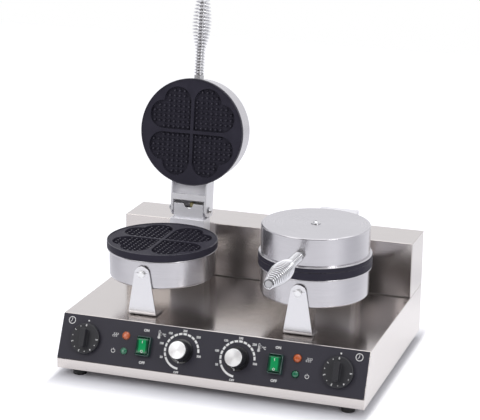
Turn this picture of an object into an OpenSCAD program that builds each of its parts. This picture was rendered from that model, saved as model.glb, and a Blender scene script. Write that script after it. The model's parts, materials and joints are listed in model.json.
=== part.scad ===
// Double waffle maker for concession stands: two round heart-pattern irons on one
// stainless base. Lengths are in millimetres. X runs to the right, Y to the back and
// Z up; the origin is on the table, under the middle of the whole machine.

/* [Base] */
// Width of the base
base_w = 550; // [500:1:640]
// Depth of the base
base_d = 405; // [400:1:460]
// Height of the base housing, without its feet
base_h = 89.4; // [84:0.1:110]
// Height of the upright lip under the control panel
lip_h = 17; // [12:0.1:22]
// Distance that the sloping front runs back
panel_run = 35; // [28:0.1:45]
// Thickness of the housings' sheet metal
sheet = 1.2; // [0.8:0.1:2]
// Thickness of the control panel
panel_t = 1; // [0.5:0.1:2]
// Margin of the control panel along its edges
panel_margin = 0.8; // [0.5:0.1:4]
// Width of the housings' turned-in flanges
flange = 14; // [10:1:20]
// Distance from the base's front edge back to the origin
origin_back = 156; // [120:1:200]

/* [Riser] */
// Depth of the riser box at the back
riser_d = 87.6; // [80:0.1:90]
// Height of the riser box above the deck
riser_h = 101.4; // [90:0.1:104]

/* [Feet] */
// Height of a foot
foot_h = 15; // [12:0.5:25]
// Radius of a foot at its top
foot_r = 13; // [11:0.5:16]
// Radius of a foot at the table
foot_low_r = 11.5; // [10:0.5:15]
// Distance of a foot's centre from the side
foot_in_x = 33; // [28:1:60]
// Distance of a foot's centre from the front or the back
foot_in_y = 24; // [20:1:60]

/* [Cooking units] */
// Distance of each unit from the middle of the base
unit_x = 140.5; // [125:0.1:160]
// Distance of the units in front of their hinges
unit_ahead = 143.1; // [140:0.1:148]
// Outside radius of the drums
drum_r = 93.6; // [88:0.1:95]
// Sheet thickness of the drums
drum_t = 1.2; // [0.8:0.1:2]
// Height of the lower drum
drum_h = 51; // [45:0.1:56]
// Space between the deck and the lower drum
drum_lift = 48.8; // [40:0.1:60]
// Radius of a lower drum's bottom edge
drum_corner = 4; // [2.5:0.1:8]
// Radius of a lid's top edge
lid_corner = 2; // [1.5:0.1:6]
// How far the rolled bead stands out of a drum
bead_out = 4; // [3:0.1:5]
// Height of the rolled bead
bead_h = 3.2; // [2:0.1:4]
// Height of the lid's drum
lid_h = 51.3; // [46:0.1:56]
// Radius of the pillar in the middle of a drum
pillar_r = 9; // [7:0.5:12]

/* [Baking plates] */
// Radius of the baking plates
plate_r = 98.1; // [97.8:0.1:102]
// Thickness of the lower plate
lower_plate_t = 12.6; // [12:0.1:15]
// Thickness of the upper plate's edge
upper_plate_t = 6.2; // [5:0.1:9]
// Thickness of the upper plate's core, inside the lid
upper_core_t = 6; // [6:0.1:8]
// Space between the closed plates
plate_gap = 0.6; // [0.4:0.1:1]
// Width of the raised rim round a plate
rim_w = 1.6; // [1:0.1:3]
// Height of the raised rim
rim_h = 1.2; // [0.6:0.1:1.4]
// Depth of the heart pockets below the plate's face
pocket_depth = 6.5; // [5:0.1:7]
// How far the studs' tops lie below the plate's face
stud_drop = 1.2; // [0.5:0.1:2]
// Width of a square stud
stud_w = 4.4; // [3.5:0.1:5]
// Distance from stud to stud
stud_pitch = 9.4; // [8.5:0.1:10.5]
// Width of the ribs between the hearts
rib_w = 5.6; // [4:0.1:9]
// Length of a heart's straight sides
heart_side = 52.5; // [46:0.5:54]

/* [Heaters] */
// Radius of the heater tube
heater_r = 4; // [3:0.1:4.5]
// Radius of the heater's ring
heater_ring_r = 58; // [45:1:70]
// Depth of the heater's groove in a plate
groove_depth = 1.8; // [1:0.1:2]
// Part of a turn that the heater fills, in degrees
heater_sweep = 330; // [300:1:335]
// Length of the heater's upright ends
heater_end = 22; // [12:1:26]
// Clearance between parts that seat on each other
seat = 0.2; // [0.1:0.05:0.3]
// Clearance between parts that pass each other
pass_gap = 0.4; // [0.3:0.05:0.5]

/* [Hinge] */
// Distance of the hinge pin in front of the riser
hinge_ahead = 14.1; // [13.8:0.1:16]
// Height of the hinge pin above the baking face
hinge_rise = 16.2; // [15:0.1:18]
// Angle of the opened lid
open_angle = 97.3; // [92:0.1:100]
// Radius of the hinge pin
pin_r = 4; // [3:0.1:4.2]
// Running clearance round a pin or shaft
pin_fit = 0.05; // [0.03:0.01:0.08]
// Outside width of the lid's hinge arm
arm_w = 69; // [66:0.5:74]
// Sheet thickness of the hinge parts
arm_t = 2.5; // [2:0.1:3]
// Height of the lid arm's top above the pin
arm_rise = 26; // [25:0.5:30]
// Distance from the pin forward to the arm's cross bar
bar_front = 25; // [24:0.5:28]
// Depth of the arm's cross bar, front to back
bar_w = 8; // [6:0.5:9]
// Width of the arm's turned-in edges
leg_w = 4.5; // [3:0.1:5]
// Space between the arm's turned-in edges and the clevis
clevis_gap = 1.5; // [0.4:0.1:2]
// How far the turned-in edges run past the pin
leg_past = 4; // [2:0.5:5]
// Distance from the pin forward to the clevis's web
clevis_front = 12.3; // [11.5:0.1:13]
// Height of the clevis's web above the pin
clevis_rise = 12; // [9:0.5:13]
// Radius of the notch in the clevis's web
notch_r = 9; // [6:0.5:10]
// Width of the bracket under the hinge
bracket_w = 66.6; // [62:0.1:72]
// Depth of that bracket
bracket_d = 32.4; // [29:0.1:34]
// Distance from the pin down to the bracket's top
bracket_drop = 15.5; // [15:0.1:17]
// Space that the opened lid arm leaves over the bracket
stop_gap = 0.4; // [0.3:0.1:0.8]
// Height of the arm's lower edge over the bracket
leg_gap = 2.3; // [2:0.1:3]
// Width of the tongue that carries the drum's back
tongue_w = 44; // [30:1:60]
// Height of that tongue
tongue_h = 24; // [16:1:28]
// Radius of the heat-proof sleeve round the lid's leads
sleeve_r = 4; // [3:0.1:4.2]

/* [Support straps] */
// Width of a strap at its foot
strap_w = 50; // [40:1:60]
// Width of a strap at its bolt
strap_top_w = 28; // [22:1:34]
// Thickness of a strap
strap_t = 3; // [2:0.1:4]
// Space between a strap and its drum
strap_gap = 2; // [1:0.1:3]
// Height of a strap's bolt above the drum's bottom
strap_bolt_up = 27.8; // [20:0.1:30]
// Outer radius of the bend at a strap's foot
strap_bend = 9; // [5:0.5:12]
// Length of a strap's flange on the deck
strap_flange = 24; // [14:1:40]
// Radius of the bolts
bolt_r = 3; // [2.5:0.1:4]
// Radius of the bolts' hexagonal heads, at their corners
bolt_head_r = 6.5; // [6:0.1:9]

/* [Handles] */
// Height of a handle above the lid's lower edge
handle_up = 21.5; // [18:0.5:26]
// Length of a handle
handle_len = 173; // [150:1:180]
// Angle at which a handle rises from its lid
handle_tilt = 1.4; // [0:0.1:3]
// Radius of the rod inside a handle
rod_r = 5.9; // [5:0.1:7]
// Radius of the rod's threaded end
rod_end_r = 4; // [3:0.1:4.5]
// Radius of the wire of the coiled grip
wire_r = 1.45; // [1:0.05:1.6]
// Number of turns of the coiled grip
coil_turns = 27; // [18:1:30]
// How much wider the grip's turns are apart at its tip than at its root
coil_stretch = 1.3; // [1:0.1:1.6]
// Radius of the coil's middle line at its belly
belly_r = 16; // [12:0.1:17]
// Length of the straight root of the coil
coil_root = 44; // [30:1:70]
// Length of the hexagonal collar at a handle's root
collar_len = 9; // [6:0.5:14]
// Width across the collar's corners
collar_w = 19; // [16:0.5:22]

/* [Controls] */
// Distance of the thermostats from the middle
thermostat_x = 50; // [44:0.5:60]
// Distance of the switches from the middle
switch_x = 118; // [100:0.5:124]
// Distance of the lamps from the middle
lamp_x = 153.5; // [145:0.5:165]
// Distance of the timers from the base's sides
timer_in = 49; // [39:0.5:69]
// Height of the dials up the slope
dial_up = 39.3; // [36:0.1:42]
// Height of the heat lamps up the slope
heat_lamp_up = 53.7; // [48:0.1:58]
// Height of the power lamps up the slope
power_lamp_up = 27; // [22:0.1:32]
// Radius of the heat lamps' lenses
heat_lamp_r = 7.5; // [6:0.1:9]
// Radius of the power lamps' lenses
power_lamp_r = 6.6; // [6:0.1:9]
// Radius of the control shafts
shaft_r = 3; // [2.5:0.1:3.5]
// Space under the dials
dial_gap = 0.6; // [0.4:0.1:1.5]
// Radius of a timer dial
timer_r = 26.5; // [22:0.5:29]
// Thickness of a timer dial
timer_t = 8; // [6:0.5:10]
// Width of a timer dial's grip
grip_w = 10; // [9:0.5:14]
// Length of a timer dial's grip
grip_len = 32; // [24:1:40]
// Height of a timer dial's grip
grip_h = 21; // [17:0.5:26]
// Radius of a thermostat knob's skirt
skirt_r = 21; // [19:0.5:23]
// Thickness of a thermostat knob's skirt
skirt_t = 3.2; // [2:0.1:5]
// Radius of a thermostat knob at its top
knob_r = 16.4; // [16:0.1:17]
// Radius of a thermostat knob at its skirt
knob_low_r = 18; // [17:0.1:19]
// Height of a thermostat knob
knob_h = 24; // [20:0.5:30]
// Radius of a thermostat knob's cap
cap_r = 15; // [12:0.1:15.4]
// Thickness of a thermostat knob's cap
cap_t = 1.6; // [1:0.1:3]
// Number of grooves round a thermostat knob
knob_grooves = 30; // [18:1:36]
// Width of a switch's bezel
bezel_w = 25.5; // [25:0.5:30]
// Length of a switch's bezel up the slope
bezel_len = 34; // [33:0.5:40]
// How far a bezel stands out of the panel
bezel_h = 9; // [8:0.5:12]
// Width of a rocker
rocker_w = 20; // [17:0.1:20.4]
// Length of a rocker
rocker_len = 28.6; // [24:0.1:29]
// How far a rocker's middle stands out of its bezel
rocker_out = 2; // [1.5:0.1:4]
// Tilt of a rocker to each side
rocker_tilt = 7; // [4:0.5:9]

/* [Electrics] */
// Radius of the cable gland's bore
gland_r = 4.5; // [3.5:0.1:5.5]
// How far the cable gland stands out of the back
gland_out = 14; // [12:1:20]
// Distance of the cable gland from the base's right side
gland_in = 85; // [65:1:150]
// Height of the cable gland above the base's lower edge
gland_up = 42; // [36:1:50]
// Number of poles of the terminal block
poles = 6; // [4:1:8]

/* [Hidden] */
$fn = 96;

STEEL = [0.78, 0.77, 0.76];
PLATED = [0.88, 0.88, 0.9];
CAST = [0.23, 0.22, 0.26];
BLACK = [0.16, 0.15, 0.17];
RUBBER = [0.1, 0.1, 0.1];
GREEN = [0.05, 0.55, 0.28];
ORANGE = [0.85, 0.35, 0.08];
CERAMIC = [0.9, 0.88, 0.8];
SLEEVE = [0.8, 0.76, 0.5];

LEFT = -1;
RIGHT = 1;
SIDES = [LEFT, RIGHT];
CUT = 1;
TINY = 0.01;
SHUT = 0;

// Levels, from the table up
deck_z = foot_h + base_h;
drum_z = deck_z + drum_lift;
lower_plate_z = drum_z + drum_h;
bake_z = lower_plate_z + lower_plate_t;
upper_plate_z = bake_z + plate_gap;
lid_z = upper_plate_z + upper_plate_t;
hinge_z = bake_z + hinge_rise;
bracket_z = hinge_z - bracket_drop;
bolt_z = drum_z + strap_bolt_up;
handle_z = lid_z + handle_up;

// Places along Y
front_y = -origin_back;
back_y = front_y + base_d;
riser_y = back_y - riser_d;
hinge_y = riser_y - hinge_ahead;
unit_y = hinge_y - unit_ahead;
bracket_y = riser_y - bracket_d;

// Places along X
gland_x = base_w / 2 - gland_in;
timer_x = base_w / 2 - timer_in;

// The sloping front
lip_z = foot_h + lip_h;
slope_len = norm([panel_run, base_h - lip_h]);
slope_lean = atan2(base_h - lip_h, panel_run);

// The hinge arm: opened, its back edge comes down on the bracket
arm_drop = bracket_drop - leg_gap;
arm_back = (bracket_drop - stop_gap) * sin(open_angle) + hinge_ahead * cos(open_angle);
web_rise = 1.2;
clevis_w = arm_w - 2 * (leg_w + clevis_gap);
sleeve_back = pin_r + sleeve_r + pass_gap;
sleeve_rise = 9;
sleeve_len = hinge_z + sleeve_rise - deck_z + 2 * sheet;

// Fasteners
foot_screw_r = 2.5;
foot_screw_head = [5, 3];
foot_recess = [6.5, 6];
nut_r = 5.8;
nut_t = 4;
plate_screw_r = 3;

// Controls
bush_r = 5;
lamp_neck_r = 5;
rocker_drop = 5;
pocket_below = 6;
trunnion_r = 1.5;
trunnion_len = 1.2;

// Heights of the cable gland's pieces: neck, hexagon, dome
gland_neck_r = 8;
gland_neck_len = 8;
gland_hex_r = 12;
gland_hex_t = 5;
gland_dome_r = [10, 7];

/* ---- Places ---- */

module at_unit(side)
  translate([side * unit_x, unit_y, 0]) children();

// A lid is drawn closed, round its unit's axis, and turned up about the hinge pin
module on_lid(side, angle)
  translate([side * unit_x, hinge_y, hinge_z])
    rotate([-angle, 0, 0])
      translate([0, -unit_ahead, -hinge_z])
        children();

module at_hinge(side)
  translate([side * unit_x, hinge_y, hinge_z]) children();

// On the slope X stays to the right, Y runs up the slope and Z out of it
module on_panel(x, up)
  translate([x, front_y, lip_z])
    rotate([slope_lean, 0, 0])
      translate([0, up, 0])
        children();

// Out of the back wall of the base, with Z to the back
module on_back(x, up)
  translate([x, back_y, foot_h + up])
    rotate([-90, 0, 0])
      children();

/* ---- Shared shapes ---- */

module box(w, d, h)
  translate([-w / 2, -d / 2, 0]) cube([w, d, h]);

module ring(outer, inner, h)
  difference() {
    cylinder(r = outer, h = h);
    translate([0, 0, -CUT]) cylinder(r = inner, h = h + 2 * CUT);
  }

module round_rect(w, d, r) {
  square([w - 2 * r, d], center = true);
  square([w, d - 2 * r], center = true);
  for (x = [-1, 1], y = [-1, 1])
    translate([x * (w / 2 - r), y * (d / 2 - r)]) circle(r = r);
}

module round_box(w, d, h, r)
  linear_extrude(h) round_rect(w, d, r);

// A slot with round ends, along X
module slot(length, width, h)
  round_box(length, width, h, width / 2 - TINY);

function dome_ball(r, h) = (r * r + h * h) / (2 * h);

// A domed head with its flat side on z = 0
module dome(r, h)
  intersection() {
    translate([0, 0, h - dome_ball(r, h)]) sphere(r = dome_ball(r, h));
    cylinder(r = r, h = h);
  }

module hexagon(r, h)
  cylinder(r = r, h = h, $fn = 6);

module hex_nut(r, hole, h)
  difference() {
    hexagon(r, h);
    translate([0, 0, -CUT]) cylinder(r = hole, h = h + 2 * CUT);
  }

/* ---- Base ---- */

// The base seen from its right side, with every wall set in by a distance
module side_outline(inset)
  polygon([
    [inset, foot_h + inset],
    [inset, lip_z + inset * (tan(slope_lean) - 1 / cos(slope_lean))],
    [panel_run + inset * (1 - cos(slope_lean)) / sin(slope_lean), deck_z - inset],
    [base_d - inset, deck_z - inset],
    [base_d - inset, foot_h + inset]
  ]);

module base_block(inset)
  translate([-base_w / 2 + inset, front_y, 0])
    rotate([90, 0, 90])
      linear_extrude(base_w - 2 * inset)
        side_outline(inset);

module foot_places()
  for (x = SIDES, y = [front_y + foot_in_y, back_y - foot_in_y])
    translate([x * (base_w / 2 - foot_in_x), y, 0]) children();

module panel_holes() {
  depth = 2 * (CUT + sheet + panel_t);
  for (side = SIDES) {
    for (x = [thermostat_x, timer_x])
      on_panel(side * x, dial_up) cylinder(r = bush_r + seat, h = depth, center = true);
    for (up = [heat_lamp_up, power_lamp_up])
      on_panel(side * lamp_x, up) cylinder(r = lamp_neck_r + seat, h = depth, center = true);
    on_panel(side * switch_x, dial_up) translate([0, 0, -depth / 2])
      box(switch_neck_w + 2 * seat, switch_neck_len + 2 * seat, depth);
  }
}

module base_housing()
  color(STEEL) difference() {
    base_block(0);
    base_block(sheet);
    translate([0, (front_y + back_y) / 2, foot_h - CUT])
      box(base_w - 2 * flange, base_d - 2 * flange, sheet + 2 * CUT);
    foot_places() translate([0, 0, foot_h - CUT])
      cylinder(r = foot_screw_r + seat, h = sheet + 2 * CUT);
    panel_holes();
    on_back(gland_x, gland_up) translate([0, 0, -sheet - CUT])
      cylinder(r = gland_neck_r + seat, h = sheet + 2 * CUT);
    for (side = SIDES) at_hinge(side) translate([0, sleeve_back, deck_z - hinge_z - sheet - CUT])
      cylinder(r = sleeve_r + seat, h = sheet + 2 * CUT);
  }

bottom_gap = 1;
vent_len = 40;
vent_w = 4;
bottom_vents = [5, 8];
vent_step = [60, 16];

// Rows of vent slots round the origin
module vents(columns, rows, h)
  for (i = [0:columns - 1], j = [0:rows - 1])
    translate([(i - (columns - 1) / 2) * vent_step[0], (j - (rows - 1) / 2) * vent_step[1], 0])
      slot(vent_len, vent_w, h);

module bottom_plate()
  color(STEEL) difference() {
    translate([0, (front_y + back_y) / 2, foot_h + sheet])
      box(base_w - 2 * (sheet + bottom_gap), base_d - 2 * (sheet + bottom_gap), sheet);
    translate([0, (front_y + back_y) / 2, foot_h + sheet - CUT])
      vents(bottom_vents[0], bottom_vents[1], sheet + 2 * CUT);
    foot_places() translate([0, 0, foot_h])
      cylinder(r = foot_screw_r + seat, h = 2 * sheet + CUT);
  }

panel_corner = 1.5;

module control_panel()
  color(CAST) difference() {
    on_panel(0, slope_len / 2)
      round_box(base_w - 2 * panel_margin, slope_len - 2 * panel_margin, panel_t, panel_corner);
    panel_holes();
  }

module riser_housing()
  color(STEEL) difference() {
    translate([0, riser_y + (riser_d - sheet) / 2, deck_z])
      box(base_w, riser_d - sheet, riser_h);
    translate([0, (riser_y + back_y - sheet) / 2, deck_z + sheet])
      box(base_w - 2 * sheet, riser_d - 3 * sheet, riser_h - 2 * sheet);
    // the open back, inside its turned-in flange
    translate([0, back_y - sheet, deck_z + riser_h / 2]) rotate([90, 0, 0])
      translate([0, 0, -CUT]) linear_extrude(2 * sheet + 2 * CUT)
        square([base_w - 2 * flange, riser_h - 2 * flange], center = true);
    cover_screw_places() translate([0, 0, -3 * sheet]) cylinder(r = bolt_r / 2 + seat, h = 4 * sheet);
  }

rear_vents = [6, 2];

// Six screws round the rear cover, with Z to the back
module cover_screw_places()
  for (x = [-1, 0, 1], z = [-1, 1])
    translate([x * (base_w - flange) / 2, back_y, deck_z + riser_h / 2 + z * (riser_h - flange) / 2])
      rotate([-90, 0, 0]) children();

module rear_cover()
  color(STEEL) difference() {
    translate([0, back_y - sheet / 2, deck_z]) box(base_w, sheet, riser_h);
    translate([0, back_y + CUT, deck_z + riser_h / 2]) rotate([90, 0, 0])
      vents(rear_vents[0], rear_vents[1], sheet + 2 * CUT);
    cover_screw_places() translate([0, 0, -2 * sheet]) cylinder(r = bolt_r / 2 + seat, h = 3 * sheet);
  }

module cover_screws()
  color(PLATED) cover_screw_places() {
    dome(bolt_r, bolt_r / 2);
    translate([0, 0, -4 * sheet]) cylinder(r = bolt_r / 2, h = 4 * sheet);
  }

module feet()
  color(RUBBER) foot_places() difference() {
    cylinder(r1 = foot_low_r, r2 = foot_r, h = foot_h);
    translate([0, 0, -CUT]) cylinder(r = foot_recess[0], h = foot_recess[1] + CUT);
    cylinder(r = foot_screw_r + seat, h = foot_h + CUT);
  }

module foot_screws()
  color(PLATED) foot_places() {
    translate([0, 0, foot_recess[1] - foot_screw_head[1]])
      cylinder(r = foot_screw_head[0], h = foot_screw_head[1]);
    translate([0, 0, foot_recess[1]])
      cylinder(r = foot_screw_r, h = foot_h + 2 * sheet + nut_t + CUT - foot_recess[1]);
    translate([0, 0, foot_h + 2 * sheet]) hex_nut(nut_r, foot_screw_r + pin_fit, nut_t);
  }

module cable_gland()
  color(BLACK) on_back(gland_x, gland_up) {
    difference() {
      union() {
        translate([0, 0, -gland_neck_len]) cylinder(r = gland_neck_r, h = gland_neck_len);
        hexagon(gland_hex_r, gland_hex_t);
        translate([0, 0, gland_hex_t])
          cylinder(r1 = gland_dome_r[0], r2 = gland_dome_r[1], h = gland_out - gland_hex_t);
      }
      translate([0, 0, -gland_neck_len - CUT])
        cylinder(r = gland_r, h = gland_out + gland_neck_len + 2 * CUT);
    }
    translate([0, 0, -sheet - nut_t]) hex_nut(gland_hex_r, gland_neck_r + pin_fit, nut_t);
  }

pole_w = 10;
pole_d = 22;
pole_h = 16;
block_wall = 1.5;
block_back = 70;

module terminal_block()
  color(CERAMIC) translate([gland_x - poles * pole_w / 2, back_y - block_back, foot_h + 2 * sheet])
    difference() {
      cube([poles * pole_w + block_wall, pole_d, pole_h]);
      for (i = [0:poles - 1]) {
        translate([i * pole_w + block_wall, -CUT, pole_h / 2])
          cube([pole_w - block_wall, pole_d / 3 + CUT, pole_h]);
        translate([i * pole_w + block_wall, pole_d * 2 / 3, pole_h / 2])
          cube([pole_w - block_wall, pole_d / 3 + CUT, pole_h]);
      }
    }

/* ---- Controls ---- */

bezel_step = 1.5;
bezel_corner = 2.5;
switch_neck_w = bezel_w - 2 * bezel_step;
switch_neck_len = bezel_len - 2 * bezel_step;
timer_case = [40, 40, 26];
thermostat_case = [34, 38, 24];
switch_depth = 20;
case_corner = 3;
shaft_len = 15;
bulb_r = 3;
bulb_len = 64;
bulb_back = 30;

// A control's case behind the sheet, its bush through the hole and its shaft
module control_body(size, side, x)
  on_panel(side * x, dial_up) {
    translate([0, 0, -sheet - size[2]]) round_box(size[0], size[1], size[2], case_corner);
    translate([0, 0, -sheet]) cylinder(r = bush_r, h = sheet + panel_t);
    cylinder(r = shaft_r, h = panel_t + dial_gap + shaft_len);
  }

module timer_body(side)
  color(BLACK) control_body(timer_case, side, timer_x);

module left_timer_body() timer_body(LEFT);
module right_timer_body() timer_body(RIGHT);

// The thermostat's case on the panel, and its bulb under the lower plate
module thermostat_body(side)
  color(PLATED) {
    control_body(thermostat_case, side, thermostat_x);
    at_unit(side) translate([-bulb_len / 2, bulb_back, lower_plate_z - bulb_r - seat])
      rotate([0, 90, 0]) cylinder(r = bulb_r, h = bulb_len);
  }

module left_thermostat_body() thermostat_body(LEFT);
module right_thermostat_body() thermostat_body(RIGHT);

// The bore that turns on a control shaft, from z = 0 up
module shaft_bore()
  translate([0, 0, -CUT]) cylinder(r = shaft_r + pin_fit, h = shaft_len + CUT + pass_gap);

module on_dial(side, x)
  on_panel(side * x, dial_up) translate([0, 0, panel_t + dial_gap]) children();

dial_edge = 1.5;
grip_round = 3;

module timer_knob(side)
  color(BLACK) on_dial(side, timer_x) difference() {
    union() {
      cylinder(r = timer_r, h = timer_t - dial_edge);
      translate([0, 0, timer_t - dial_edge])
        cylinder(r1 = timer_r, r2 = timer_r - dial_edge, h = dial_edge);
      round_box(grip_w, grip_len, grip_h, grip_round);
    }
    shaft_bore();
  }

module left_timer_knob() timer_knob(LEFT);
module right_timer_knob() timer_knob(RIGHT);

groove_r = 0.9;
groove_lift = 0.3;
knob_taper = atan2(knob_low_r - knob_r, knob_h - skirt_t);

module thermostat_knob(side)
  color(BLACK) on_dial(side, thermostat_x) difference() {
    union() {
      cylinder(r = skirt_r, h = skirt_t);
      translate([0, 0, skirt_t]) cylinder(r1 = knob_low_r, r2 = knob_r, h = knob_h - skirt_t);
    }
    for (i = [0:knob_grooves - 1]) rotate(i * 360 / knob_grooves)
      translate([knob_low_r + groove_r / 2, 0, skirt_t + groove_lift]) rotate([0, -knob_taper, 0])
        cylinder(r = groove_r, h = knob_h, $fn = 24);
    shaft_bore();
    translate([0, 0, knob_h - cap_t / 2]) cylinder(r = cap_r + seat, h = cap_t);
  }

module left_thermostat_knob() thermostat_knob(LEFT);
module right_thermostat_knob() thermostat_knob(RIGHT);

module knob_cap(side)
  color(PLATED) on_dial(side, thermostat_x) translate([0, 0, knob_h - cap_t / 2]) {
    cylinder(r = cap_r, h = cap_t * 2 / 3);
    translate([0, 0, cap_t * 2 / 3]) cylinder(r1 = cap_r, r2 = cap_r - cap_t / 3, h = cap_t / 3);
  }

module left_knob_cap() knob_cap(LEFT);
module right_knob_cap() knob_cap(RIGHT);

// The rocker's pivot runs across the switch, with Y up the slope and Z out of it
module on_rocker(side)
  on_panel(side * switch_x, dial_up) translate([0, 0, panel_t + bezel_h - rocker_drop]) children();

module switch_body(side)
  color(BLACK) difference() {
    on_panel(side * switch_x, dial_up) {
      translate([0, 0, panel_t]) round_box(bezel_w, bezel_len, bezel_h, bezel_corner);
      translate([0, 0, -switch_depth]) box(switch_neck_w, switch_neck_len, switch_depth + panel_t);
    }
    on_rocker(side) {
      translate([0, 0, -pocket_below])
        box(rocker_w + 2 * pass_gap, rocker_len + 2 * pass_gap, pocket_below + rocker_drop + CUT);
      rotate([0, 90, 0]) cylinder(
        r = trunnion_r + pin_fit, h = rocker_w + 2 * (trunnion_len + pass_gap), center = true);
    }
  }

module left_switch_body() switch_body(LEFT);
module right_switch_body() switch_body(RIGHT);

rocker_low = 2.6;

// The rocker leans to OFF: its lower end is pressed in
module rocker(side)
  color(GREEN) on_rocker(side) rotate([rocker_tilt, 0, 0]) {
    intersection() {
      rotate([0, 90, 0]) cylinder(r = rocker_len / 2, h = rocker_w, center = true);
      rotate([90, 0, 90]) translate([0, 0, -rocker_w / 2]) linear_extrude(rocker_w)
        polygon([
          [-rocker_len / 2, -rocker_low], [rocker_len / 2, -rocker_low],
          [rocker_len / 2, rocker_drop + rocker_out + rocker_len / 2 * tan(rocker_tilt)],
          [0, rocker_drop + rocker_out],
          [-rocker_len / 2, rocker_drop + rocker_out + rocker_len / 2 * tan(rocker_tilt)]
        ]);
    }
    rotate([0, 90, 0]) cylinder(r = trunnion_r, h = rocker_w + 2 * trunnion_len, center = true);
  }

module left_rocker() rocker(LEFT);
module right_rocker() rocker(RIGHT);

lamp_collar = 2;
lamp_step = 0.6;
lamp_bulge = 0.6;
lamp_len = 24;

// A lamp: domed lens on a collar, its neck through the panel, its body and nut behind
module lamp(side, up, r)
  on_panel(side * lamp_x, up) {
    translate([0, 0, panel_t]) cylinder(r = r, h = lamp_collar);
    translate([0, 0, panel_t + lamp_collar]) dome(r - lamp_step, r * lamp_bulge);
    translate([0, 0, -lamp_len]) cylinder(r = lamp_neck_r, h = lamp_len + panel_t);
  }

module heat_lamps()
  color(ORANGE) for (side = SIDES) lamp(side, heat_lamp_up, heat_lamp_r);

module power_lamps()
  color(GREEN) for (side = SIDES) lamp(side, power_lamp_up, power_lamp_r);

/* ---- Lower drums and what carries them ---- */

// Half of a drum's section: floor, round edge, wall and a rolled bead at its mouth
module drum_section(h, corner) {
  translate([bolt_r + seat, 0]) square([drum_r - corner - bolt_r - seat, drum_t]);
  translate([drum_r - drum_t, corner]) square([drum_t, h - corner]);
  intersection() {
    translate([drum_r - corner, corner]) difference() {
      circle(r = corner);
      if (corner > drum_t) circle(r = corner - drum_t);
    }
    translate([drum_r - corner, 0]) square(corner);
  }
  translate([drum_r - drum_t, h - bead_h]) square([drum_t + bead_out - bead_h / 2, bead_h]);
  translate([drum_r + bead_out - bead_h / 2, h - bead_h / 2]) circle(r = bead_h / 2);
}

module drum(h, corner)
  rotate_extrude() drum_section(h, corner);

module lower_drum(side)
  color(STEEL) difference() {
    at_unit(side) translate([0, 0, drum_z]) drum(drum_h, drum_corner);
    support_bolt_place(side) cylinder(r = bolt_r + seat, h = 2 * strap_bend, center = true);
  }

module left_lower_drum() lower_drum(LEFT);
module right_lower_drum() lower_drum(RIGHT);

// The support bolt's place on the drum's front, with Z to the front
module support_bolt_place(side)
  at_unit(side) translate([0, -drum_r, bolt_z]) rotate([90, 0, 0]) children();

// The strap's outline from the front: a taper with a round top
module strap_face() {
  height = bolt_z - deck_z;
  top_r = strap_top_w / 2;
  taper = atan2(strap_w / 2 - top_r, height - strap_bend);
  difference() {
    union() {
      polygon([
        [-strap_w / 2, strap_bend], [strap_w / 2, strap_bend],
        [top_r * cos(taper), height + top_r * sin(taper)],
        [-top_r * cos(taper), height + top_r * sin(taper)]
      ]);
      translate([0, height]) circle(r = top_r);
    }
    translate([0, height]) circle(r = bolt_r + seat);
  }
}

module support_strap(side)
  color(STEEL) at_unit(side) translate([0, -drum_r - strap_gap, deck_z]) {
    rotate([90, 0, 0]) linear_extrude(strap_t) strap_face();
    // the bend, and the flange under the drum
    translate([-strap_w / 2, strap_bend - strap_t, strap_bend]) rotate([0, 90, 0])
      difference() {
        cylinder(r = strap_bend, h = strap_w);
        translate([0, 0, -CUT]) cylinder(r = strap_bend - strap_t, h = strap_w + 2 * CUT);
        translate([-2 * strap_bend, -strap_bend - CUT, -CUT])
          cube([2 * strap_bend, 2 * (strap_bend + CUT), strap_w + 2 * CUT]);
        translate([-CUT, 0, -CUT]) cube([2 * strap_bend, 2 * strap_bend, strap_w + 2 * CUT]);
      }
    translate([-strap_w / 2, strap_bend - strap_t, 0]) cube([strap_w, strap_flange, strap_t]);
  }

module left_support_strap() support_strap(LEFT);
module right_support_strap() support_strap(RIGHT);

bolt_head_h = 4.6;
bolt_chamfer = 0.9;
spacer_r = 6.8;

// A bolt's head with its outer corners turned off
module bolt_head()
  intersection() {
    hexagon(bolt_head_r, bolt_head_h);
    union() {
      cylinder(r = bolt_head_r, h = bolt_head_h - bolt_chamfer);
      translate([0, 0, bolt_head_h - bolt_chamfer])
        cylinder(r1 = bolt_head_r, r2 = bolt_head_r - 2 * bolt_chamfer, h = bolt_chamfer);
    }
  }

// Bolts, the washers that stand the straps off, and the nuts inside the drums
module support_bolts()
  color(PLATED) for (side = SIDES) support_bolt_place(side) {
    translate([0, 0, strap_gap + strap_t]) bolt_head();
    translate([0, 0, -2 * nut_t]) cylinder(r = bolt_r, h = 2 * nut_t + strap_gap + strap_t);
    difference() {
      ring(spacer_r, bolt_r + pin_fit, strap_gap);
      drum_cut();
    }
    translate([0, 0, -drum_t - nut_t - seat]) hex_nut(nut_r, bolt_r + pin_fit, nut_t);
  }

// The drum's own round wall, seen from the support bolt's place
module drum_cut()
  translate([0, 0, -drum_r]) rotate([90, 0, 0]) cylinder(r = drum_r + seat / 2, h = strap_w, center = true);

// A bolt up through the drum's floor into the plate's pillar
module drum_bolts()
  color(PLATED) for (side = SIDES) at_unit(side) translate([0, 0, drum_z]) {
    translate([0, 0, -nut_t]) hexagon(nut_r, nut_t);
    cylinder(r = bolt_r, h = drum_t + 3 * nut_t);
  }

bracket_wall = 2;

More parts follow.
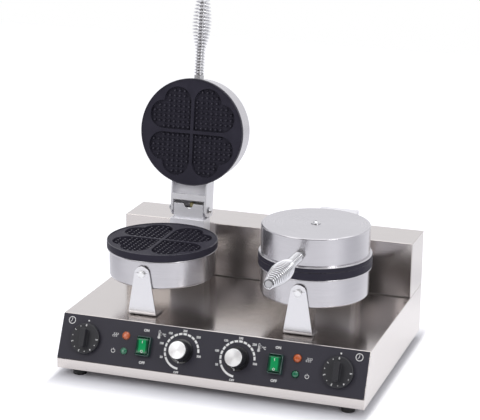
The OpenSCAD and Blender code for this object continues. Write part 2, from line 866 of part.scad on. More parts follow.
module hinge_bracket(side)
  color(STEEL) difference() {
    union() {
      translate([side * unit_x - bracket_w / 2, bracket_y, deck_z])
        cube([bracket_w, bracket_d, bracket_z - deck_z]);
      translate([side * unit_x - tongue_w / 2, unit_y, bolt_z - tongue_h / 2])
        cube([tongue_w, bracket_y - unit_y + bracket_wall, tongue_h]);
    }
    translate([side * unit_x - bracket_w / 2 + bracket_wall, bracket_y + bracket_wall, deck_z - CUT])
      cube([bracket_w - 2 * bracket_wall, bracket_d, bracket_z - deck_z - bracket_wall + CUT]);
    at_unit(side) translate([0, 0, drum_z]) cylinder(r = drum_r + seat, h = drum_h);
    at_hinge(side) translate([0, sleeve_back, -bracket_drop - bracket_wall - CUT])
      cylinder(r = sleeve_r + seat, h = bracket_wall + 2 * CUT);
  }

module left_hinge_bracket() hinge_bracket(LEFT);
module right_hinge_bracket() hinge_bracket(RIGHT);

/* ---- Hinge ---- */

ear_r = 9;

// A hinge plate standing on edge across X, drawn with the pin's axis at its origin
module edge_plate(x, t)
  translate([x, 0, 0]) rotate([90, 0, 90]) linear_extrude(t) children();

module ear_outline() {
  circle(r = ear_r);
  translate([-clevis_front, -bracket_drop]) square([clevis_front + ear_r, bracket_drop]);
  translate([-clevis_front, -bracket_drop]) square([clevis_front, bracket_drop + ear_r]);
}

// The fixed half of the hinge: a notched web, two ears and a foot on the bracket
module clevis(side)
  color(STEEL) at_hinge(side) difference() {
    union() {
      edge_plate(-clevis_w / 2, arm_t) ear_outline();
      edge_plate(clevis_w / 2 - arm_t, arm_t) ear_outline();
      translate([-clevis_w / 2, -clevis_front, -bracket_drop])
        cube([clevis_w, arm_t, bracket_drop + clevis_rise]);
      translate([-clevis_w / 2, -clevis_front, -bracket_drop])
        cube([clevis_w, clevis_front + ear_r + sleeve_r, arm_t]);
      // bosses that fill the space up to the lid's arm
      for (x = SIDES) translate([x * clevis_w / 2, 0, 0]) rotate([0, x * 90, 0])
        cylinder(r = pin_r + arm_t, h = arm_w / 2 - arm_t - clevis_w / 2 - pass_gap);
    }
    rotate([0, 90, 0]) cylinder(r = pin_r + pin_fit, h = arm_w, center = true);
    translate([0, CUT, clevis_rise]) rotate([90, 0, 0])
      cylinder(r = notch_r, h = clevis_front + 2 * CUT);
    translate([0, sleeve_back, -bracket_drop - CUT]) cylinder(r = sleeve_r + seat, h = arm_t + 2 * CUT);
  }

module left_clevis() clevis(LEFT);
module right_clevis() clevis(RIGHT);

washer_r = 6.6;
washer_t = 0.8;
cap_nut_r = 5.6;
cap_nut_t = 3;
cap_dome = [4.9, 3];

// The pin, and on each end a washer and a cap nut
module hinge_pin(side)
  color(PLATED) at_hinge(side) {
    rotate([0, 90, 0])
      cylinder(r = pin_r, h = arm_w + 2 * (pass_gap + washer_t + cap_nut_t) - CUT, center = true);
    for (x = SIDES) translate([x * (arm_w / 2 + pass_gap), 0, 0]) rotate([0, x * 90, 0]) {
      ring(washer_r, pin_r + pin_fit, washer_t);
      translate([0, 0, washer_t]) {
        hex_nut(cap_nut_r, pin_r + pin_fit, cap_nut_t);
        translate([0, 0, cap_nut_t]) dome(cap_dome[0], cap_dome[1]);
      }
    }
  }

module left_hinge_pin() hinge_pin(LEFT);
module right_hinge_pin() hinge_pin(RIGHT);

// The sleeve round the lid's leads comes up behind the pin
module lead_sleeve(side)
  color(SLEEVE) at_hinge(side) translate([0, sleeve_back, sleeve_rise]) difference() {
    translate([0, 0, -sleeve_len]) cylinder(r = sleeve_r, h = sleeve_len);
    translate([0, 0, -sleeve_r]) cylinder(r = sleeve_r / 2, h = sleeve_r + CUT);
  }

module left_lead_sleeve() lead_sleeve(LEFT);
module right_lead_sleeve() lead_sleeve(RIGHT);

// The side of the lid's arm, with the pin's axis at its origin
module arm_outline() {
  circle(r = arm_drop);
  translate([-unit_ahead, -arm_drop]) square([unit_ahead, arm_drop + arm_rise]);
  translate([-CUT, 0]) square([arm_back + CUT, arm_rise]);
}

// The moving half of the hinge: two sides, a top, a web, a cross bar and turned-in edges
module lid_arm(side, angle)
  color(STEEL) on_lid(side, angle) difference() {
    translate([0, unit_ahead, hinge_z]) {
      for (x = [-arm_w / 2, arm_w / 2 - arm_t]) edge_plate(x, arm_t) arm_outline();
      translate([-arm_w / 2, -unit_ahead, arm_rise - arm_t]) cube([arm_w, unit_ahead + arm_back, arm_t]);
      translate([-arm_w / 2, -unit_ahead, web_rise]) cube([arm_w, unit_ahead - bar_front, arm_t]);
      translate([-arm_w / 2, -bar_front, -arm_drop]) cube([arm_w, bar_w, arm_t]);
      translate([-arm_w / 2, -bar_front - arm_t, -arm_drop])
        cube([arm_w, arm_t, arm_drop + web_rise + arm_t]);
      for (x = [-arm_w / 2, arm_w / 2 - leg_w])
        translate([x, -bar_front, -arm_drop]) cube([leg_w, bar_front + leg_past, arm_t]);
    }
    translate([0, 0, lid_z]) cylinder(r = drum_r + seat, h = 2 * lid_h);
    cylinder(r = plate_r + pass_gap, h = lid_z + bead_h + pass_gap);
    translate([0, unit_ahead, hinge_z]) rotate([0, 90, 0])
      cylinder(r = pin_r + pin_fit, h = arm_w + 2 * CUT, center = true);
  }

module left_lid_arm() lid_arm(LEFT, open_angle);
module right_lid_arm() lid_arm(RIGHT, SHUT);

/* ---- Baking plates ---- */

// True inside one heart, at least a margin from its edge
function in_heart(x, y, m) =
  min(x, y) > rib_w / 2 + m && (
    max(x, y) < rib_w / 2 + heart_side
    || norm([x - rib_w / 2 - heart_side, y - (rib_w + heart_side) / 2]) < heart_side / 2 - m
    || norm([y - rib_w / 2 - heart_side, x - (rib_w + heart_side) / 2]) < heart_side / 2 - m);

module heart() {
  translate([rib_w / 2, rib_w / 2]) {
    square(heart_side);
    translate([heart_side, heart_side / 2]) circle(r = heart_side / 2);
    translate([heart_side / 2, heart_side]) circle(r = heart_side / 2);
  }
}

stud_margin = 0.8;
grid_shift = 0.3;
grid = [rib_w / 2 + stud_pitch / 2 + grid_shift : stud_pitch : plate_r];
stud_places = [for (x = grid, y = grid)
  if (min([for (i = SIDES, j = SIDES)
    in_heart(x + i * stud_w / 2, y + j * stud_w / 2, stud_margin) ? 1 : 0]) == 1) [x, y]];

// Four heart-shaped pockets, cut down from z = 0, with studs left standing in them
module heart_pockets()
  for (turn = [0:90:270]) rotate(turn) {
    translate([0, 0, -stud_drop]) linear_extrude(stud_drop + rim_h + CUT) heart();
    translate([0, 0, -pocket_depth]) linear_extrude(pocket_depth - stud_drop / 2) difference() {
      heart();
      for (place = stud_places) translate(place) square(stud_w, center = true);
    }
  }

module groove(z)
  translate([0, 0, z]) rotate_extrude() translate([heater_ring_r, 0]) circle(r = heater_r + seat);

lower_heater_z = lower_plate_z + groove_depth - heater_r;
upper_heater_z = lid_z + upper_core_t - groove_depth + heater_r;

module lower_plate(side)
  color(CAST) at_unit(side) difference() {
    union() {
      translate([0, 0, lower_plate_z]) cylinder(r = plate_r, h = lower_plate_t);
      translate([0, 0, drum_z + drum_t]) cylinder(r = pillar_r, h = drum_h);
    }
    translate([0, 0, bake_z - rim_h]) cylinder(r = plate_r - rim_w, h = rim_h + CUT);
    translate([0, 0, bake_z - rim_h]) heart_pockets();
    groove(lower_heater_z);
    translate([0, 0, drum_z]) cylinder(r = bolt_r + pin_fit, h = drum_t + 4 * nut_t);
  }

module left_lower_plate() lower_plate(LEFT);
module right_lower_plate() lower_plate(RIGHT);

core_gap = 1;
plate_screw_hole = 20;

module upper_plate(side, angle)
  color(CAST) on_lid(side, angle) difference() {
    union() {
      translate([0, 0, upper_plate_z]) cylinder(r = plate_r, h = upper_plate_t);
      translate([0, 0, lid_z]) cylinder(r = drum_r - drum_t - core_gap, h = upper_core_t);
      translate([0, 0, lid_z]) cylinder(r = pillar_r, h = lid_h - drum_t);
    }
    translate([0, 0, upper_plate_z - CUT]) cylinder(r = plate_r - rim_w, h = rim_h + CUT);
    translate([0, 0, upper_plate_z + rim_h]) mirror([0, 0, 1]) heart_pockets();
    groove(upper_heater_z);
    translate([0, 0, lid_z + lid_h - drum_t - plate_screw_hole])
      cylinder(r = plate_screw_r + pin_fit, h = plate_screw_hole + CUT);
  }

module left_upper_plate() upper_plate(LEFT, open_angle);
module right_upper_plate() upper_plate(RIGHT, SHUT);

/* ---- Heaters ---- */

end_wall = 1;

// A ring with a gap at the back, and a sleeved upright on each end
module heater()
  rotate(90 - heater_sweep / 2 - 180) {
    rotate_extrude(angle = heater_sweep) translate([heater_ring_r, 0]) circle(r = heater_r);
    for (turn = [0, heater_sweep]) rotate(turn)
      translate([heater_ring_r, 0, groove_depth + seat - heater_r])
        cylinder(r = heater_r + end_wall, h = heater_end);
  }

module lower_heater(side)
  color(PLATED) at_unit(side) translate([0, 0, lower_heater_z]) mirror([0, 0, 1]) heater();

module left_lower_heater() lower_heater(LEFT);
module right_lower_heater() lower_heater(RIGHT);

module upper_heater(side, angle)
  color(PLATED) on_lid(side, angle) translate([0, 0, upper_heater_z]) heater();

module left_upper_heater() upper_heater(LEFT, open_angle);
module right_upper_heater() upper_heater(RIGHT, SHUT);

/* ---- Lids ---- */

// The handle's place on the lid's front, with Z to the front and a little up
module handle_place()
  translate([0, -drum_r, handle_z]) rotate([90 - handle_tilt, 0, 0]) children();

module lid_drum(side, angle)
  color(STEEL) on_lid(side, angle) difference() {
    translate([0, 0, lid_z + lid_h]) mirror([0, 0, 1]) drum(lid_h, lid_corner);
    handle_place() cylinder(r = rod_end_r + seat, h = 4 * nut_t, center = true);
  }

module left_lid_drum() lid_drum(LEFT, open_angle);
module right_lid_drum() lid_drum(RIGHT, SHUT);

lid_washer_r = 8.5;
lid_washer_t = 1.2;
lid_head_r = 5.6;
lid_head_h = 3.2;
socket_r = 1.8;

module lid_screw(side, angle)
  color(PLATED) on_lid(side, angle) translate([0, 0, lid_z + lid_h]) {
    ring(lid_washer_r, plate_screw_r + pin_fit, lid_washer_t);
    translate([0, 0, lid_washer_t]) difference() {
      dome(lid_head_r, lid_head_h);
      translate([0, 0, lid_head_h / 3]) hexagon(socket_r, lid_head_h);
    }
    translate([0, 0, -4 * nut_t]) cylinder(r = plate_screw_r, h = 4 * nut_t + lid_washer_t);
  }

module left_lid_screw() lid_screw(LEFT, open_angle);
module right_lid_screw() lid_screw(RIGHT, SHUT);

rod_short = 2;
rod_nut_r = 7;

// The rod, its hexagonal collar against the drum, and the nut inside the drum
module handle_rod(side, angle)
  color(PLATED) on_lid(side, angle) {
    difference() {
      handle_place() {
        translate([0, 0, -CUT]) hexagon(collar_w / 2, collar_len + CUT);
        cylinder(r = rod_r, h = handle_len - rod_short);
      }
      translate([0, 0, lid_z]) cylinder(r = drum_r + seat, h = lid_h);
    }
    handle_place() {
      translate([0, 0, -2 * nut_t]) cylinder(r = rod_end_r, h = 3 * nut_t);
      translate([0, 0, -drum_t - nut_t - 2 * seat]) hex_nut(rod_nut_r, rod_end_r + pin_fit, nut_t);
    }
  }

module left_handle_rod() handle_rod(LEFT, open_angle);
module right_handle_rod() handle_rod(RIGHT, SHUT);

WIRE_SIDES = 6;
TURN_STEPS = 12;
coil_r = rod_r + wire_r + seat;
coil_start = collar_len + wire_r + seat;
coil_len = handle_len - wire_r - coil_start;
coil_steps = coil_turns * TURN_STEPS;
belly_skew = 0.8;
belly_power = 1.4;

// Distance along the handle after a part u of all the turns
function coil_z(u) = coil_len * (u * 2 + (coil_stretch - 1) * u * u) / (1 + coil_stretch);

// Radius of the coil at a distance z: straight at its root, then a belly, then in again
function coil_radius(z) = let (b = max(0, (z - coil_root) / (coil_len - coil_root)))
  coil_r + (belly_r - coil_r) * pow(sin(180 * pow(b, belly_skew)), belly_power);

function coil_point(k, a) = let (
    u = k / coil_steps,
    turn = 360 * k / TURN_STEPS,
    r = coil_radius(coil_z(u)) + wire_r * cos(a))
  [r * cos(turn), r * sin(turn), coil_z(u) + wire_r * sin(a)];

// The grip: a wire of six sides wound round the rod
module handle_coil(side, angle)
  color(PLATED) on_lid(side, angle) handle_place() translate([0, 0, coil_start]) {
    points = [for (k = [0:coil_steps], j = [0:WIRE_SIDES - 1]) coil_point(k, 360 * j / WIRE_SIDES)];
    sides = [for (k = [0:coil_steps - 1], j = [0:WIRE_SIDES - 1])
      let (a = k * WIRE_SIDES + j, b = k * WIRE_SIDES + (j + 1) % WIRE_SIDES)
        [a, a + WIRE_SIDES, b + WIRE_SIDES, b]];
    first = [for (j = [0:WIRE_SIDES - 1]) j];
    last = [for (j = [WIRE_SIDES - 1:-1:0]) coil_steps * WIRE_SIDES + j];
    polyhedron(points = points, faces = concat(sides, [first], [last]));
  }

module left_handle_coil() handle_coil(LEFT, open_angle);
module right_handle_coil() handle_coil(RIGHT, SHUT);

base_housing();
bottom_plate();
control_panel();
riser_housing();
rear_cover();
cover_screws();
feet();
foot_screws();
cable_gland();
terminal_block();
left_timer_body();
right_timer_body();
left_thermostat_body();
right_thermostat_body();
left_switch_body();
right_switch_body();
heat_lamps();
power_lamps();
left_support_strap();
right_support_strap();
support_bolts();
drum_bolts();
left_hinge_bracket();
right_hinge_bracket();
left_clevis();
right_clevis();
left_hinge_pin();
right_hinge_pin();
left_lead_sleeve();
right_lead_sleeve();
left_lower_drum();
right_lower_drum();
left_lower_plate();
right_lower_plate();
left_lower_heater();
right_lower_heater();
left_lid_drum();
left_upper_plate();
left_upper_heater();
left_lid_arm();
left_lid_screw();
left_handle_rod();
left_handle_coil();
right_lid_drum();
right_upper_plate();
right_upper_heater();
right_lid_arm();
right_lid_screw();
right_handle_rod();
right_handle_coil();
left_timer_knob();
right_timer_knob();
left_thermostat_knob();
right_thermostat_knob();
left_knob_cap();
right_knob_cap();
left_rocker();
right_rocker();
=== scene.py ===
"""Looks of a double waffle maker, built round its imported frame. Lengths are in metres.

Sizes and places come from the frame's nodes and joints; what the frame doesn't hold is
a named value. Drawings on the panel and the dials are thin solids, one mesh a surface.
"""
import json
import math

import bmesh
import bpy
from mathutils import Matrix, Vector
from mathutils.geometry import delaunay_2d_cdt


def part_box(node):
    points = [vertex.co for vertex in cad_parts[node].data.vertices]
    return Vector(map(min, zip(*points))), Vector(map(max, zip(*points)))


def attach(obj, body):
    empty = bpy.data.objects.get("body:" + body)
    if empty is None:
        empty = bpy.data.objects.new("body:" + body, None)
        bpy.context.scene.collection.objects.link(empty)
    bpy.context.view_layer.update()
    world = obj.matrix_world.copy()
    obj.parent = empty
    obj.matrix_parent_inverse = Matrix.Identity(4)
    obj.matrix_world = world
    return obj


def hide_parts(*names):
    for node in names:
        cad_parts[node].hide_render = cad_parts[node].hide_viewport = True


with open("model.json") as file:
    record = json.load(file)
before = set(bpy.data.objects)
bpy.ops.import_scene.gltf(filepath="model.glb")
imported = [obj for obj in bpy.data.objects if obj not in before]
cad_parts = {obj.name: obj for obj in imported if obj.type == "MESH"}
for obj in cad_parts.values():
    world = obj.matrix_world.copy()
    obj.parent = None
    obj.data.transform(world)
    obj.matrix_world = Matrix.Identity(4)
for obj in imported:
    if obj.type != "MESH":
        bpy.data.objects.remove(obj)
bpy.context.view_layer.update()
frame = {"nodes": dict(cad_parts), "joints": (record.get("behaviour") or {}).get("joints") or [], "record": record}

MM = 0.001
SIDES = ("left", "right")
NODES = frame["nodes"]
JOINTS = {joint["name"]: joint for joint in frame["joints"]}
X_AXIS = Vector((1, 0, 0))
UP = Vector((0, 0, 1))

# Where things are, from the frame
OPEN_ANGLE = math.radians(JOINTS["right_lid_hinge"]["range_deg"][1])
LID_ANGLE = {"left": OPEN_ANGLE, "right": 0.0}
PANEL_T = 1 * MM
BAKE_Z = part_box("right_lower_plate")[1].z
PLATE_BASE_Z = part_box("right_lower_drum")[1].z
DRUM_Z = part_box("right_lower_drum")[0].z
UPPER_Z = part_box("right_upper_plate")[0].z
LID_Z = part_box("right_lid_drum")[0].z
LID_TOP_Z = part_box("right_lid_drum")[1].z
PLATE_R = (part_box("right_lower_plate")[1].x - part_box("right_lower_plate")[0].x) / 2


def unit_centre(side):
    """The middle of a cooking unit, at table level."""
    low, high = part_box(f"{side}_lower_drum")
    middle = (low + high) / 2
    return Vector((middle.x, middle.y, 0))


def unit_place(side):
    return Matrix.Translation(unit_centre(side))


def lid_place(side):
    """From a closed lid's own frame, round its unit's axis, to where the lid stands at rest."""
    hinge = Vector(JOINTS[f"{side}_lid_hinge"]["pos_m"])
    turn = Matrix.Rotation(-LID_ANGLE[side], 4, "X")
    return Matrix.Translation(hinge) @ turn @ Matrix.Translation(unit_centre(side) - hinge)


def panel_place(x, lift=PANEL_T):
    """On the panel: X to the right, Y up the slope from the dials' line and Z out of it."""
    joint = JOINTS["right_timer_turn"]
    normal = -Vector(joint["axis"]).normalized()
    axes = Matrix((X_AXIS, normal.cross(X_AXIS), normal)).transposed().to_4x4()
    on_line = Vector((x, joint["pos_m"][1], joint["pos_m"][2]))
    return Matrix.Translation(on_line + normal * lift) @ axes


# ---- Materials ----

class Nodes:
    """A node tree, with short ways to add nodes and join them."""

    def __init__(self, tree):
        self.tree = tree

    def feed(self, socket, value):
        if isinstance(value, bpy.types.NodeSocket):
            self.tree.links.new(value, socket)
        else:
            socket.default_value = value

    def add(self, kind, values=(), out=0, **settings):
        node = self.tree.nodes.new("ShaderNode" + kind)
        for key, value in settings.items():
            setattr(node, key, value)
        for socket, value in dict(values).items():
            self.feed(node.inputs[socket], value)
        return node.outputs[out]

    def math(self, operation, a, b=0.0):
        return self.add("Math", {0: a, 1: b}, operation=operation)

    def vector(self, operation, a, b):
        return self.add("VectorMath", {0: a, 1: b}, operation=operation)

    def where(self, out="Object"):
        return self.add("TexCoord", out=out)

    def noise(self, at, scale, detail=3.0, roughness=0.5):
        values = {"Vector": at, "Scale": scale, "Detail": detail, "Roughness": roughness}
        return self.add("TexNoise", values)

    def stretch(self, value, low, high, start=0.0, end=1.0):
        values = {"Value": value, "From Min": start, "From Max": end, "To Min": low, "To Max": high}
        return self.add("MapRange", values)

    def length(self, vector):
        return self.add("VectorMath", {0: vector}, out="Value", operation="LENGTH")

    def beyond(self, at, half):
        """How far a position lies outside a box round the origin, along each axis."""
        out = self.vector("SUBTRACT", self.vector("ABSOLUTE", at, (0, 0, 0)), half)
        return self.vector("MAXIMUM", out, (0, 0, 0))

    def mix(self, share, first, second):
        """A blend of two colours."""
        node = self.tree.nodes.new("ShaderNodeMix")
        node.data_type = "RGBA"
        self.feed(node.inputs[0], share)
        self.feed(node.inputs[6], first)
        self.feed(node.inputs[7], second)
        return node.outputs[2]


class Shader(Nodes):
    """A material with one Principled shader."""

    def __init__(self, name):
        self.material = bpy.data.materials.new(name)
        self.material.use_nodes = True
        super().__init__(self.material.node_tree)
        self.bsdf = self.tree.nodes["Principled BSDF"]

    def local(self, place):
        """The position in a place's own axes."""
        inverse = place.inverted()
        values = {"Vector": self.where(), "Location": inverse.translation,
                  "Rotation": inverse.to_euler()}
        return self.add("Mapping", values, vector_type="POINT")

    def across(self, run):
        """The world direction that lies on the surface and across a run."""
        side = self.vector("CROSS_PRODUCT", self.where("Normal"), run)
        return self.add("VectorTransform", {0: side}, convert_from="OBJECT", convert_to="WORLD")

    def bump(self, height, distance, strength=1.0):
        values = {"Height": height, "Distance": distance, "Strength": strength}
        self.feed(self.bsdf.inputs["Normal"], self.add("Bump", values))

    def surface(self, **values):
        """Sets the shader's own sockets; a name's underscores stand for spaces."""
        for key, value in values.items():
            self.feed(self.bsdf.inputs[key.replace("_", " ")], value)
        return self.material


def grey(level):
    return (level, level, level, 1.0)


def tint(colour, factor):
    return tuple(min(1.0, part * factor) for part in colour[:3]) + (1.0,)


STEEL = (0.56, 0.55, 0.57, 1.0)
SHEET = (0.60, 0.565, 0.545, 1.0)
STRAP = (0.72, 0.715, 0.73, 1.0)
PLATED = (0.81, 0.805, 0.845, 1.0)
# How much lighter a bracket is painted than the same plating elsewhere: painted light
BRACKET_PAINTED_LIGHT = 1.12
SPUN = (0.88, 0.88, 0.89, 1.0)
# Streaks to a metre, across the grain and along it
GRAIN_FINE = 1100.0
GRAIN_LONG = 14.0
# A normal that leans over this much is on a side of the sheet
ON_SIDE = 0.7
# The painted shade on a bracket's lower part, and how far it reaches above and below the drums' undersides
BRACKET_SHADE = (0.42, 0.40, 0.39, 1.0)
BRACKET_SHADE_REACH = 20 * MM
# How far the painted shade between turns reaches, how open it is where it ends, and its level
GAP_REACH = 4 * MM
GAP_OPEN = (0.35, 0.85)
GAP_SHADE_LEVEL = 0.3


def steel_finish(shader, grain, across, colour, roughness, spread, metallic=1.0, contrast=0.05):
    """Brushed stainless: streaks along the grain, light smudges, and a highlight across it."""
    streaks = shader.noise(grain, 1.0, 4.0, 0.65)
    smudges = shader.noise(shader.where(), 9.0, 4.0, 0.55)
    rough = shader.math("ADD", shader.stretch(streaks, -0.015, 0.015),
                        shader.stretch(smudges, -0.03, 0.05))
    shade = shader.math("ADD", shader.stretch(streaks, 0.0, 0.7, 0.3, 0.7),
                        shader.stretch(smudges, 0.0, 0.3))
    shader.bump(streaks, 0.001 * MM)
    return shader.surface(
        Base_Color=shader.mix(shade, tint(colour, 1 - contrast), tint(colour, 1 + contrast)),
        Metallic=metallic, Roughness=shader.math("ADD", rough, roughness),
        Anisotropic=spread, Tangent=across)


def sheet_steel(name, colour, roughness, spread, metallic=1.0):
    """Sheet brushed along X; on the sides, along Y."""
    shader = Shader(name)
    at = shader.where()
    split = shader.add("SeparateXYZ", {0: shader.where("Normal")})
    on_side = shader.math("GREATER_THAN", shader.math("ABSOLUTE", split), ON_SIDE)
    along_x = shader.vector("MULTIPLY", at, (GRAIN_LONG, GRAIN_FINE, GRAIN_FINE))
    along_y = shader.vector("MULTIPLY", at, (GRAIN_FINE, GRAIN_LONG, GRAIN_FINE))
    grain = shader.mix(on_side, along_x, along_y)
    across = shader.across(shader.mix(on_side, (1, 0, 0, 1), (0, 1, 0, 1)))
    return steel_finish(shader, grain, across, colour, roughness, spread, metallic)


def turned_steel(name, place, colour=STEEL, roughness=0.25, spread=0.6, contrast=0.09,
                 uneven=1.5, fine=GRAIN_FINE):
    """Steel polished while it turned round the Z axis of a place, a little uneven round it."""
    shader = Shader(name)
    at = shader.local(place)
    flat = shader.vector("MULTIPLY", at, (1, 1, 0))
    out = shader.add("VectorMath", {0: flat}, operation="NORMALIZE")
    height = shader.add("SeparateXYZ", {0: at}, out=2)
    level = shader.math("MULTIPLY", shader.math("ADD", shader.length(flat), height), fine)
    around = shader.vector("MULTIPLY", out, (uneven, uneven, 0))
    grain = shader.vector("ADD", around, shader.add("CombineXYZ", {2: level}))
    axis = (place.to_3x3() @ UP)[:]
    from_axis = shader.vector("SUBTRACT", shader.where(), place.translation[:])
    across = shader.across(shader.vector("CROSS_PRODUCT", axis, from_axis))
    return steel_finish(shader, grain, across, colour, roughness, spread, contrast=contrast)


def bright_metal(name, level, roughness, metallic=1.0):
    """Bright plating, a little worn."""
    shader = Shader(name)
    wear = shader.noise(shader.where(), 260.0, 4.0)
    shader.bump(wear, 0.02 * MM)
    return shader.surface(
        Base_Color=shader.mix(wear, (level, level, level + 0.02, 1), tint(grey(level), 1.15)),
        Metallic=metallic, Roughness=shader.stretch(wear, roughness - 0.06, roughness + 0.08))


def sprung_wire(name, level, roughness):
    """Bright wire, with painted shade between its turns."""
    shader = Shader(name)
    # painted shade: the wire is darker where its neighbouring turns are near
    occlusion = shader.add("AmbientOcclusion", {"Distance": GAP_REACH}, out=1, samples=8)
    unshaded = shader.stretch(occlusion, 0.0, 1.0, *GAP_OPEN)
    return shader.surface(
        Base_Color=shader.mix(unshaded, grey(level * GAP_SHADE_LEVEL), (level, level, level + 0.02, 1)),
        Metallic=1.0, Roughness=roughness)


def bracket_plate(name):
    """Plated sheet, painted lighter than the other plating, with painted shade below the cooking units, where the
    drums shade it. A guess: that part is hidden.
    """
    material = sheet_steel(name, tint(PLATED, BRACKET_PAINTED_LIGHT), 0.3, 0.2, 0.25)
    nodes = Nodes(material.node_tree)
    colour = nodes.tree.nodes["Principled BSDF"].inputs["Base Color"]
    unshaded = colour.links[0].from_socket
    height = nodes.add("SeparateXYZ", {0: nodes.where()}, out=2)
    # painted shade: darker below the drums' undersides, where they shade the bracket
    shaded = nodes.stretch(height, 1.0, 0.0, DRUM_Z - BRACKET_SHADE_REACH, DRUM_Z + BRACKET_SHADE_REACH)
    nodes.feed(colour, nodes.mix(shaded, unshaded, BRACKET_SHADE))
    return material


def nonstick_casting(name, colour, roughness, shine):
    """Sand-cast aluminium under a satin black coating, a little worn and greased."""
    shader = Shader(name)
    cast = shader.noise(shader.where(), 900.0, 4.0, 0.6)
    patches = shader.noise(shader.where(), 38.0, 3.0)
    shader.bump(cast, 0.05 * MM)
    return shader.surface(
        Base_Color=shader.mix(patches, tint(colour, 0.8), tint(colour, 1.25)),
        Roughness=shader.stretch(patches, roughness - 0.06, roughness + 0.08, 0.3, 0.7),
        Specular_IOR_Level=shine)


def panel_face():
    shader = Shader("panel_face")
    fine = shader.noise(shader.where(), 2200.0, 2.0)
    shader.bump(fine, 0.012 * MM)
    return shader.surface(
        Base_Color=shader.mix(fine, (0.031, 0.029, 0.040, 1), (0.041, 0.039, 0.052, 1)),
        Roughness=shader.stretch(fine, 0.42, 0.52), Specular_IOR_Level=0.3)


def plastic(name, colour, roughness, coat=0.0):
    """A moulding with a faint grain."""
    shader = Shader(name)
    grain = shader.noise(shader.where(), 1400.0, 2.0)
    shader.bump(grain, 0.008 * MM)
    return shader.surface(
        Base_Color=shader.mix(grain, tint(colour, 0.85), tint(colour, 1.15)),
        Roughness=shader.stretch(grain, roughness - 0.04, roughness + 0.06), Coat_Weight=coat,
        Coat_Roughness=0.12)


def lens(name, colour, glow):
    """Tinted clear plastic, a little brighter where the light inside is near."""
    shader = Shader(name)
    depth = shader.noise(shader.where(), 320.0, 2.0)
    body = shader.mix(depth, tint(colour, 0.75), tint(colour, 1.15))
    return shader.surface(
        Base_Color=body, Roughness=0.1, Coat_Weight=1.0, Coat_Roughness=0.04,
        Emission_Color=body, Emission_Strength=glow)


# Half the width and height of the rocker's bright middle, where its painted glow is strongest, and how far the
# glow fades beyond
ROCKER_LIT = (5.4 * MM, 9.6 * MM, 0)
ROCKER_FADE = 2.2 * MM


def rocker_green(name, place):
    """Green with a painted glow, brightest in the middle and darker towards the edges."""
    shader = Shader(name)
    flat = shader.vector("MULTIPLY", shader.local(place), (1, 1, 0))
    away = shader.length(shader.beyond(flat, ROCKER_LIT))
    edge = shader.stretch(away, 0.0, 1.0, 0.0, ROCKER_FADE)
    body = shader.mix(edge, (0.004, 0.27, 0.085, 1), (0.002, 0.055, 0.024, 1))
    # The body colour is also given as emission: a painted glow
    return shader.surface(
        Base_Color=body, Roughness=0.2, Coat_Weight=0.4, Coat_Roughness=0.08,
        Emission_Color=body, Emission_Strength=0.15)


def woven_sleeve():
    shader = Shader("glass_fibre")
    weave = shader.add("TexWave", {"Vector": shader.where(), "Scale": 420.0, "Distortion": 2.0},
                       bands_direction="DIAGONAL")
    shader.bump(weave, 0.12 * MM)
    return shader.surface(
        Base_Color=shader.mix(weave, (0.42, 0.36, 0.16, 1), (0.68, 0.62, 0.34, 1)), Roughness=0.75)


def white_print():
    shader = Shader("white_print")
    wear = shader.noise(shader.where(), 700.0, 2.0)
    return shader.surface(
        Base_Color=shader.mix(wear, grey(0.72), grey(0.86)), Roughness=0.45)


MATERIALS = {
    "sheet": sheet_steel("brushed_steel", SHEET, 0.16, 0.5),
    "strap": sheet_steel("strap_steel", STRAP, 0.25, 0.3),
    "plated": sheet_steel("plated_steel", PLATED, 0.3, 0.2, 0.25),
    "bracket": bracket_plate("shaded_plate"),
    "bolt": bright_metal("bolt_zinc", 0.86, 0.3, 0.4),
    "pin": bright_metal("pin_steel", 0.55, 0.12),
    "bright": bright_metal("bright_metal", 0.74, 0.2),
    "wire": sprung_wire("spring_wire", 0.72, 0.12),
    "rod": bright_metal("handle_rod_steel", 0.48, 0.35),
    "casting": nonstick_casting("nonstick_casting", (0.031, 0.029, 0.042), 0.44, 0.08),
    "worn": nonstick_casting("nonstick_worn", (0.042, 0.040, 0.054), 0.26, 0.55),
    "panel": panel_face(),
    "black": plastic("black_plastic", (0.014, 0.014, 0.017), 0.2, 0.5),
    "dial": plastic("dial_plastic", (0.019, 0.019, 0.023), 0.48),
    "bezel": plastic("bezel_plastic", (0.009, 0.042, 0.035), 0.2, 0.6),
    "rubber": plastic("rubber", (0.018, 0.018, 0.018), 0.6),
    # dark colour for the bead at the riser's foot: painted shade in the crease
    "crease_shade": plastic("crease_shade", (0.05, 0.042, 0.038), 0.5),
    "green": lens("green_lens", (0.001, 0.13, 0.06), 0.1),
    "orange": lens("orange_lens", (0.50, 0.10, 0.022), 0.1),
    "green_collar": lens("green_collar", (0.003, 0.04, 0.026), 0.0),
    "orange_collar": lens("orange_collar", (0.20, 0.055, 0.02), 0.0),
    "ceramic": plastic("ceramic", (0.72, 0.69, 0.60), 0.3),
    "sleeve": woven_sleeve(),
    "print": white_print(),
}


def side_materials(side):
    """The materials that follow one side's own axes."""
    knob = panel_place(JOINTS[f"{side}_thermostat_turn"]["pos_m"][0])
    switch = panel_place(JOINTS[f"{side}_switch_rock"]["pos_m"][0])
    return {
        f"{side}_drum": turned_steel(f"{side}_turned_steel", unit_place(side)),
        f"{side}_lid": turned_steel(f"{side}_lid_turned_steel", lid_place(side)),
        f"{side}_cap": turned_steel(f"{side}_spun_cap", knob, SPUN, 0.3, 0.7, 0.13, 9.0, 90.0),
        f"{side}_rocker": rocker_green(f"{side}_rocker_green", switch),
    }


MATERIALS.update(side_materials("left"))
MATERIALS.update(side_materials("right"))

